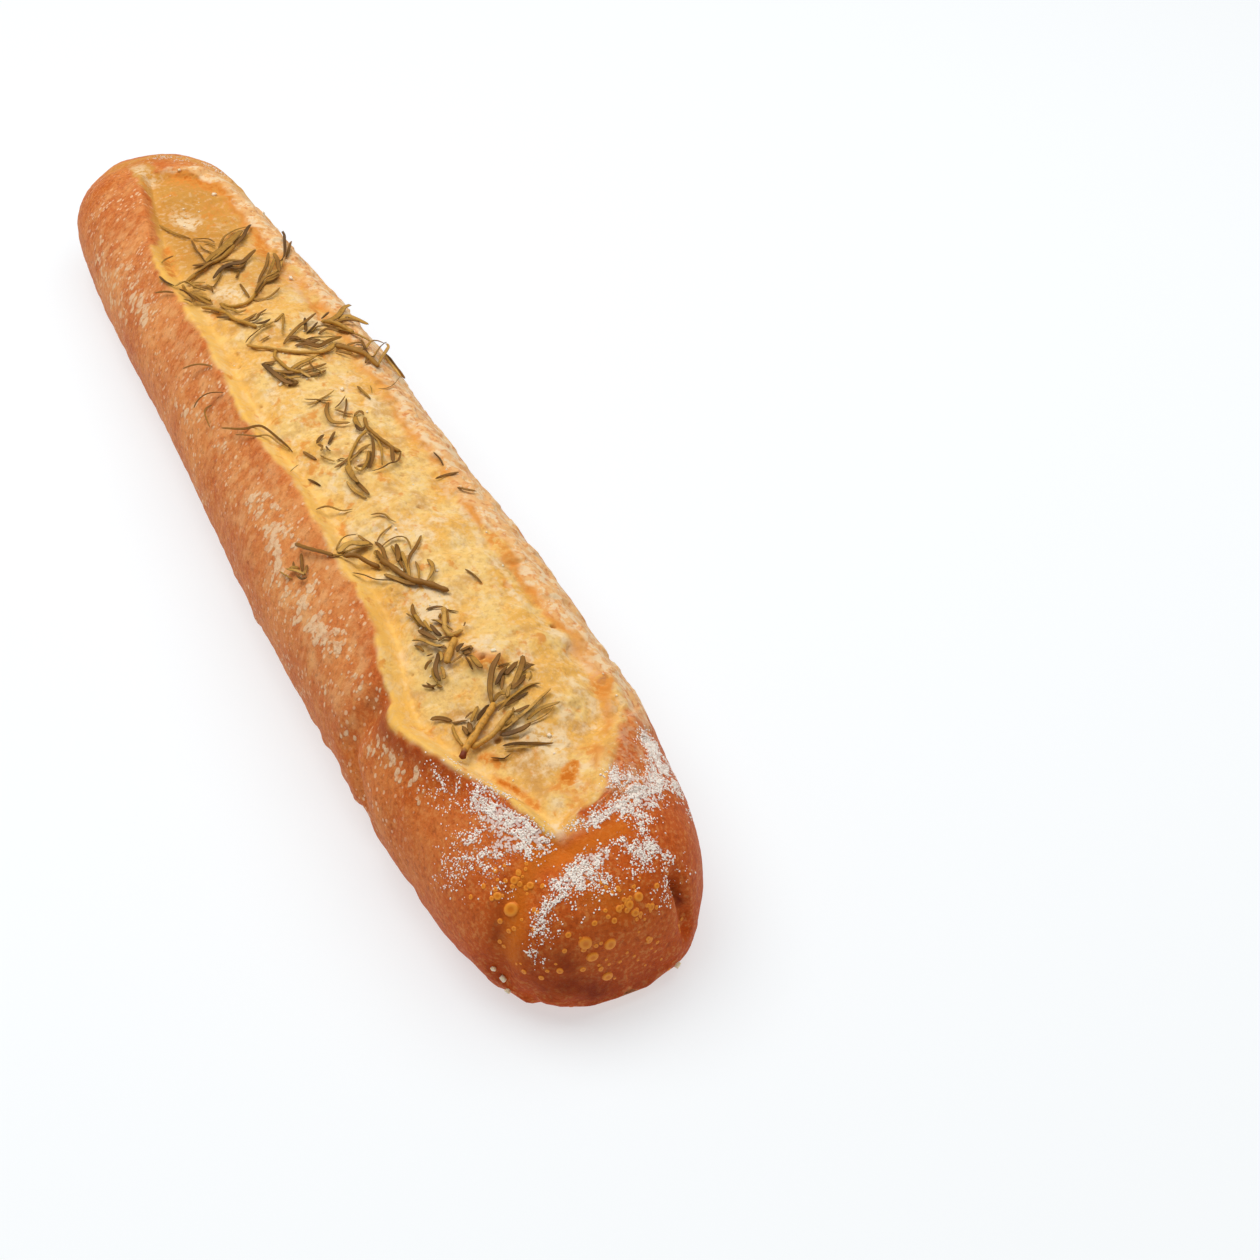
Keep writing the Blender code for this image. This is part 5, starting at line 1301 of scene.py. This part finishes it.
LOOSE_NEEDLES = [
    (1, 0.35, 22.1, -15.8, 25.2, -14.8, 28.7, -13.5), (0.8, 0.1, 34.2, -18.9, 36.8, -17.6, 39.7, -16.4),
    (1.2, 0.3, -7, 14, -2.5, 14.1, 1, 14.5, 3.6, 14.6), (0.5, 0.5, -7.1, 18.4, -4.4, 17.9, -1.3, 16.9),
    (0.5, 0.3, -4.4, 20, -3.3, 22.7, -4.9, 26.1, -12, 31.5),
    (0.8, 0.3, 51.9, -22.7, 51.5, -18.4, 54.8, -15.1, 55.8, -12),
    (1, 0.25, 64.2, -32.5, 67.3, -33.6, 71.1, -34.9), (0.8, 0.3, 63.9, -35.2, 65.9, -35.9, 68.1, -36.4),
    (1, 0.65, 65.1, -38.2, 68.8, -36, 72.7, -34.3), (0.9, 0.05, 70.5, -36.7, 73.5, -36, 73.8, -34.3),
    (0.7, 0.45, 62.1, -39.5, 66, -38.6, 69, -37.6), (0.8, 0.35, 69.6, -32.6, 71.3, -33.7, 73.3, -35),
    (0.8, 0.55, 66.1, -37.4, 66.5, -35.9, 68.4, -34.7),
    (0.8, 0.1, 165.1, -12.7, 166, -9.8, 167.7, -6.4, 170, -1.8, 170.7, 0.2),
    (0.6, 0.6, 166.2, -12.7, 167.6, -9.7, 169.2, -5.6),
    (0.9, 0.2, 166.4, -16.9, 167.6, -15.3, 168.7, -13.8, 167.9, -11.2),
    (0.8, 0.25, -44.8, -34.2, -43.5, -30, -37.5, -25.6),
    (0.9, 0.15, -22.8, -26.8, -26.2, -31.6, -25.6, -35.2, -23.2, -37.5),
    (0.7, 0.35, -23.6, -30.9, -22.1, -34.3, -15.2, -35.2),
    (0.8, 0.25, -7.1, -33.3, -0.4, -28.1, 1, -22, 8.5, -19.1, 19, -18.2),
    (0.6, 0.45, -0.2, -30.9, 5.4, -26.1, 7.4, -21.5, 17.3, -18.5), (0.6, 0.6, 30.1, -23, 27, -19.1),
    (0.9, 0.2, 38, 22, 42, 22.5, 46, 22), (0.8, 0.15, 51, 17, 51.3, 21, 52, 25),
    (0.9, 0.25, 59, 21, 61, 23, 63, 26), (0.8, 0.2, 99, 6, 103, 7.3, 107, 8),
    (0.7, 0.3, -118, -14, -116, -17, -113, -20),
]


def smooth_route(corners, step):
    """Catmull-Rom points through the corners of a stem or needle."""
    ends = [corners[0]] + list(corners) + [corners[-1]]
    route = []
    for p0, p1, p2, p3 in zip(ends[:-3], ends[1:-2], ends[2:-1], ends[3:]):
        count = max(2, round(math.dist(p1, p2) / step))
        for i in range(count):
            t = i / count
            route.append(tuple(
                0.5 * (2 * b + (c - a) * t + (2 * a - 5 * b + 4 * c - d) * t * t
                       + (3 * b - a - 3 * c + d) * t ** 3)
                for a, b, c, d in zip(p0, p1, p2, p3)))
    route.append(corners[-1])
    return route


def laid(plan, ground, clearance):
    """Lift plan points onto the loaf; a stiff piece bridges what falls away below it."""
    heights = np.array([ground.highest(x, y, PROBE) for x, y in plan]) + clearance
    steps = [math.dist(a, b) for a, b in zip(plan[:-1], plan[1:])]
    for i, step in enumerate(steps):
        heights[i + 1] = max(heights[i + 1], heights[i] - STIFF_DROP * step)
    for i in range(len(steps) - 1, -1, -1):
        heights[i] = max(heights[i], heights[i + 1] - STIFF_DROP * steps[i])
    for join in (np.max, np.mean):
        padded = np.pad(heights, 2, mode="edge")
        heights = join([padded[i:i + len(plan)] for i in range(5)], axis=0)
    return np.column_stack([plan, heights])


class Bunch:
    """Arrays of points, faces and masks that grow strip by strip into one mesh."""

    def __init__(self):
        self.points, self.faces, self.masks = [], [], {"tone": [], "edge_shade": [], "cut": []}
        self.count = 0

    def add(self, rings, caps, masks):
        """A tube of rings of points, closed at each end by a point."""
        rings = np.asarray(rings, float)
        n, sides = rings.shape[:2]
        ends = self.count + n * sides
        index = np.arange(self.count, ends).reshape(n, sides)
        turned = np.roll(index, -1, axis=1)
        first, second = np.full(sides, ends), np.full(sides, ends + 1)
        closing = np.stack([turned[0], index[0], first, index[-1], turned[-1], second], axis=-1)
        self.faces += [tube_faces(index), closing.reshape(-1, 3)]
        self.points.append(np.concatenate([rings.reshape(-1, 3), np.asarray(caps, float)]))
        for key, value in masks.items():
            flat = np.broadcast_to(value, (n, sides)).ravel()
            self.masks[key].append(np.concatenate([flat, flat[:1], flat[-1:]]))
        self.count = ends + 2

    def piece(self, name, look):
        """All the strips as one object."""
        made = mesh_object(name, np.concatenate(self.points), np.concatenate(self.faces), look)
        for key, values in self.masks.items():
            store(made, key, np.concatenate(values))
        return made


def frames(centres):
    """A route's points, and the directions across and up at each."""
    centres = np.asarray(centres, float)
    ahead = unit(np.gradient(centres, axis=0))
    across = unit(np.cross(ahead, [0, 0, 1]))
    return centres, across, np.cross(across, ahead)


def thickness(width):
    """How thick a needle of this width is."""
    return min(NEEDLE_THICKNESS[0] * width, NEEDLE_THICKNESS[1])


def add_needle(bunch, route, width, tone, rng):
    """One leaf on its route, twisting a little, with blunt ends."""
    centres, across, above = frames(route)
    last = len(centres) - 1
    t = np.arange(last + 1) / last
    start, span = NEEDLE_ENDS
    blunt, least = NEEDLE_BLUNT
    half = width / 2 * np.clip(np.sin(math.pi * (start + span * t)) * blunt, least, 1.0)
    swing = min(NEEDLE_TWIST[0], NEEDLE_TWIST[1] / width)
    twist = rng.uniform(-swing, swing) + (t - 0.3) * rng.uniform(-swing, swing)
    cosine, sine = np.cos(twist)[:, None], np.sin(twist)[:, None]
    turn_across = across * cosine + above * sine
    turn_above = above * cosine - across * sine
    flat = thickness(width) / width
    rings = [[centres[i] + half[i] * (a * turn_across[i] + b * flat * turn_above[i])
              for a, b in NEEDLE_SECTION] for i in range(1, last)]
    tone = (tone + rng.uniform(-TONE_STRAY, TONE_STRAY)
            + TONE_WAVE * np.sin(4 * t[1:last, None] + rng.uniform(0, 6)))
    bunch.add(rings, [centres[0], centres[-1]],
              {"tone": np.clip(tone, 0, 1), "edge_shade": NEEDLE_EDGE_SHADE, "cut": 0.0})


def add_stem(bunch, route, width, tone, rng):
    """A woody stem with a knobbly round section; a pale one shows its dark cut end."""
    centres, across, above = frames(route)
    turns = np.arange(STEM_SIDES) / STEM_SIDES * 2 * math.pi
    rings = []
    for i in range(1, len(centres) - 1):
        half = width / 2 * rng.uniform(*KNOBS)
        rings.append([centres[i] + half * (math.cos(a) * across[i] + math.sin(a) * above[i])
                      for a in turns])
    cut = np.zeros((len(rings), 1))
    cut[:2] = tone >= CUT_TONE
    # the lower half of a stem is darkened: painted shade
    bunch.add(rings, [centres[0], centres[-1]],
              {"tone": tone, "edge_shade": np.clip(-STEM_SHADE * np.sin(turns), 0, 1), "cut": cut})


def corners(row):
    """The plan corners of a row, after its width and tone."""
    return list(zip(row[2::2], row[3::2]))


def add_needles(bunch, rows, ground, least, rng):
    """The needles of some rows, each at its own small height above what carries it."""
    lifted = min(least / REST, 1)     # a needle without clear space lies flat
    for row in rows:
        width, tone = row[:2]
        plan = smooth_route(corners(row), NEEDLE_STEP)
        clearance = least + thickness(width) / 2 + STACK * rng.random() ** 2 * lifted
        points = laid(plan, ground, clearance)
        points[:, 2] += rng.uniform(0, TIP_LIFT) * np.linspace(0, 1, len(plan)) ** 2 * lifted
        add_needle(bunch, points, width, tone, rng)


def sprig(name, stems, rows, ground, look, rng):
    """A cluster of rosemary: its stems and its needles."""
    bunch = Bunch()
    for row in stems:
        route = laid(smooth_route(corners(row), STEM_STEP), ground, REST + row[0] / 2)
        add_stem(bunch, route, row[0], row[1], rng)
    add_needles(bunch, rows, ground, REST, rng)
    return bunch.piece(name.replace("rosemary_", "") + "_leaves", look)


def loose_needles(ground, look, rng):
    """The single needles that lie loose on the loaf."""
    bunch = Bunch()
    add_needles(bunch, LOOSE_NEEDLES, ground, 0.0, rng)
    return bunch.piece("loose_needles", look)


# ---- small things ----------------------------------------------------------------------
def scattered(name, shape, places, ways, sizes, look, seed, flatten, sink):
    """Many uneven copies of a small closed shape, turned at random about each place's normal."""
    shape_points, shape_faces = shape
    draw = np.random.default_rng(seed)
    count = len(places)
    turn = draw.uniform(0, 2 * math.pi, count)[:, None]
    side = unit(np.cross(ways, TILT))
    first = side * np.cos(turn) + np.cross(ways, side) * np.sin(turn)
    second = np.cross(ways, first)
    stretch = draw.uniform(*STRETCH, (count, 3)) * sizes[:, None]
    stretch[:, 2] *= flatten
    uneven = draw.uniform(*UNEVEN, (count, len(shape_points), 1))
    local = shape_points[None] * uneven * stretch[:, None]
    centre = places + ways * (stretch[:, 2] * (1 - sink))[:, None]
    points = centre[:, None] + sum(local[..., i:i + 1] * axis[:, None]
                                   for i, axis in enumerate((first, second, ways)))
    faces = shape_faces[None] + (np.arange(count) * len(shape_points))[:, None, None]
    return mesh_object(name, points.reshape(-1, 3), faces.reshape(-1, 3), look)


def shape_of(mesh):
    """Points and triangles of a small mesh, in the same order on every run."""
    mesh.verts.index_update()
    points = np.array([v.co[:] for v in mesh.verts])
    faces = []
    for face in mesh.faces:
        ring = [v.index for v in face.verts]
        start = ring.index(min(ring))
        ring = ring[start:] + ring[:start]
        faces += [(ring[0], a, b) for a, b in zip(ring[1:-1], ring[2:])]
    mesh.free()
    return points, np.array(sorted(faces))


def lump():
    """A small round lump."""
    mesh = bmesh.new()
    bmesh.ops.create_icosphere(mesh, subdivisions=1, radius=1.0)
    return shape_of(mesh)


def crystal():
    """A rough cube with its corners cut off."""
    mesh = bmesh.new()
    bmesh.ops.create_cube(mesh, size=1.7)
    bmesh.ops.bevel(mesh, geom=mesh.verts[:] + mesh.edges[:], offset=0.28, segments=1, affect="EDGES")
    return shape_of(mesh)


def drawn(weights, count, seed):
    """Numbers of grid points, drawn in proportion to their weights."""
    share = weights.ravel() / weights.sum()
    return np.random.default_rng(seed).choice(weights.size, size=count, p=share)


def between(grid, rows, columns, share):
    """Values of a grid at places inside its squares."""
    u, v = share[:, :1], share[:, 1:]
    return ((1 - u) * ((1 - v) * grid[rows, columns] + v * grid[rows, columns + 1])
            + u * ((1 - v) * grid[rows + 1, columns] + v * grid[rows + 1, columns + 1]))


def drawn_sizes(limits, shares, power):
    """Sizes between two limits; the greater the power, the more of them are small."""
    return limits[0] + (limits[1] - limits[0]) * shares ** power


def flour_grains(points, normals, masks, look):
    """Grains of flour, thick where the flour mask is."""
    contrast, fill = FLOUR_CONTRAST
    clump = smooth(layers(points, FLOUR_CLUMPS, SEED + 80) * contrast + fill)
    thick = masks["powder"] ** FLOUR_FALL * clump * (1 - FLOUR_LOSS * masks["rough"])
    weights = thick * np.linalg.norm(facing(points), axis=-1)
    chosen = drawn(weights[:-1, :-1], FLOUR_GRAINS, SEED + 82)
    rows, columns = np.divmod(chosen, points.shape[1] - 1)
    draw = np.random.default_rng(SEED + 83)
    places = between(points, rows, columns, draw.uniform(0, 1, (FLOUR_GRAINS, 2)))
    sizes = drawn_sizes(FLOUR_SIZES, draw.uniform(0, 1, FLOUR_GRAINS), SMALL_FLOUR)
    return scattered("flour_grains", lump(), places, normals[rows, columns], sizes, look,
                     SEED + 84, flatten=0.40, sink=0.25)


def salt_crystals(points, normals, masks, look):
    """Coarse salt on the crumb, most of it on pale patches, and a few bits low on the near end."""
    weights = masks["rough"] * (SALT_ANYWHERE + masks["pale"] ** 2) + SALT_EDGE * masks["edge"]
    low = [np.linalg.norm(points - np.array(bit), axis=-1).argmin() for bit in BASE_BITS]
    chosen = np.concatenate([drawn(weights, SALT_COUNT, SEED + 90), low])
    draw = np.random.default_rng(SEED + 91)
    sizes = drawn_sizes(SALT_SIZES, draw.uniform(0, 1, len(chosen)), SMALL_SALT)
    sizes[-len(low):] = SALT_SIZES[1]
    return scattered("salt_crystals", crystal(), points.reshape(-1, 3)[chosen],
                     normals.reshape(-1, 3)[chosen], sizes * SALT_SHAPE, look, SEED + 92,
                     flatten=0.8, sink=0.45)


def blisters(ground, look, rng):
    """Low domes with a raised rim on the near end's crust."""
    rows = [(np.array(row[:3], float), row[3]) for row in BLISTERS]
    for middle, spreads, count in BLISTER_CLUSTERS:
        for _ in range(count):
            spot = [rng.gauss(m, width) for m, width in zip(middle, spreads)]
            rows.append((ground.nearest(spot)[0], rng.uniform(*SMALL_BLISTER_SIZES)))
    turns = np.arange(BLISTER_SIDES) / BLISTER_SIDES * 2 * math.pi
    size = len(BLISTER_RINGS) * BLISTER_SIDES
    points, faces = [], []
    base = 0
    for spot, radius in rows:
        where, way = ground.nearest(spot)
        if where[2] < BLISTER_FLOOR:
            continue
        side = unit(np.cross(way, [0, 0, 1.0]))
        around = np.cos(turns)[:, None] * side + np.sin(turns)[:, None] * np.cross(way, side)
        around = around * (1 + BLISTER_WOBBLE * np.sin(2 * turns + base))[:, None]
        points += [where + radius * (out * around + up * way) for out, up, _ in BLISTER_RINGS]
        points.append([where + way * radius * BLISTER_TOP[0]])
        index = np.arange(base, base + size).reshape(-1, BLISTER_SIDES)
        rim = index[-1]
        top = np.full(BLISTER_SIDES, base + size)
        faces += [tube_faces(index), np.stack([rim, np.roll(rim, -1), top], axis=-1)]
        base += size + 1
    tones = [light for *_, light in BLISTER_RINGS for _ in turns] + [BLISTER_TOP[1]]
    made = mesh_object("crust_blisters", np.concatenate(points), np.concatenate(faces), look)
    store(made, "tone", np.tile(tones, base // (size + 1)))
    return made


# ---- stage, light and camera -----------------------------------------------------------
WHITE = (1, 1, 1)
WORLD_STRENGTH = 0.28
# each lamp: place and aim in metres, size, power
LAMPS = {
    "key": ((-0.38, -0.32, 1.15), (0.0, 0.0, 0.0), 1.0, 9.6),
    "top": ((0.0, 0.45, 1.15), (0.05, 0.0, 0.0), 1.2, 6.8),
}
FLOOR_GREY = (0.40, 0.425, 0.44)
FLOOR_GLOW = 0.55             # keeps the floor white while its shadows stay faint
FLOOR_SIZE = 6.0
CAMERA_TARGET = np.array([113.4, 53.3, 20.0])
CAMERA_AZIMUTH = 62.4
CAMERA_ELEVATION = 43.0
CAMERA_DISTANCE = 600.0
SENSOR = 36
FOCAL = 1942 / 1260 * SENSOR  # focal length in pixels of the photo, on that sensor


def camera():
    """The photo's camera."""
    azimuth, elevation = math.radians(CAMERA_AZIMUTH), math.radians(CAMERA_ELEVATION)
    back = Vector((math.sin(azimuth) * math.cos(elevation), -math.cos(azimuth) * math.cos(elevation),
                   math.sin(elevation)))
    data = bpy.data.cameras.new("camera")
    data.sensor_width = SENSOR
    data.lens = FOCAL
    data.clip_start = 0.01
    made = new_object("camera", data)
    made.location = Vector(place(CAMERA_TARGET)) + back * CAMERA_DISTANCE * MM
    made.rotation_euler = back.to_track_quat("Z", "Y").to_euler()
    bpy.context.scene.camera = made


def floor():
    """The white surface that the loaf lies on."""
    mesh = bmesh.new()
    bmesh.ops.create_grid(mesh, x_segments=2, y_segments=2, size=FLOOR_SIZE)
    data = bpy.data.meshes.new("floor")
    mesh.to_mesh(data)
    mesh.free()
    n = Nodes("floor")
    n.shade(Base_Color=FLOOR_GREY, Emission_Color=WHITE, Emission_Strength=FLOOR_GLOW,
            Roughness=0.9, Specular_IOR_Level=0.0)
    data.materials.append(n.made)
    new_object("floor", data)


def lights():
    """A weak white surround and two soft lamps."""
    scene = bpy.context.scene
    scene.world = bpy.data.worlds.new("world")
    scene.world.use_nodes = True
    background = scene.world.node_tree.nodes["Background"]
    background.inputs[0].default_value = (*WHITE, 1)
    background.inputs[1].default_value = WORLD_STRENGTH
    for name, (spot, aim, size, power) in LAMPS.items():
        data = bpy.data.lights.new(name, "AREA")
        data.shape = "DISK"
        data.size = size
        data.energy = power
        data.color = WHITE
        made = new_object(name, data)
        made.location = spot
        made.rotation_euler = (Vector(aim) - Vector(spot)).to_track_quat("-Z", "Y").to_euler()
    scene.view_settings.view_transform = "Standard"


# ---- everything together ---------------------------------------------------------------
def build():
    """Make every piece, and dress the part's objects with them."""
    rng = random.Random(SEED)
    points, masks, flow = surface()
    ground = Ground(points)
    normals = unit(facing(points))
    rosemary = rosemary_material()
    crust, crumb = loaf_pieces(points, masks, flow, bread_material())
    flour = grain_material("flour", FLOUR_COLOURS, 1.2, 0.95)
    salt = grain_material("salt", SALT_COLOURS, 0.8, 0.55, 0.3)
    dressed = [
        (crust, "crust"),
        (crumb, "crumb"),
        (blisters(ground, blister_material(), rng), "crust"),
        (flour_grains(points, normals, masks, flour), "flour"),
        (salt_crystals(points, normals, masks, salt), "salt"),
        (loose_needles(ground, rosemary, rng), "rosemary"),
    ]
    for piece, slot in dressed:
        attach(piece, "root")
        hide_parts("loaf")
    for name, (stems, rows) in SPRIGS.items():
        piece = sprig(name, stems, rows, ground, rosemary, rng)
        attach(piece, "root")
        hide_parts(name)


build()
floor()
lights()
camera()
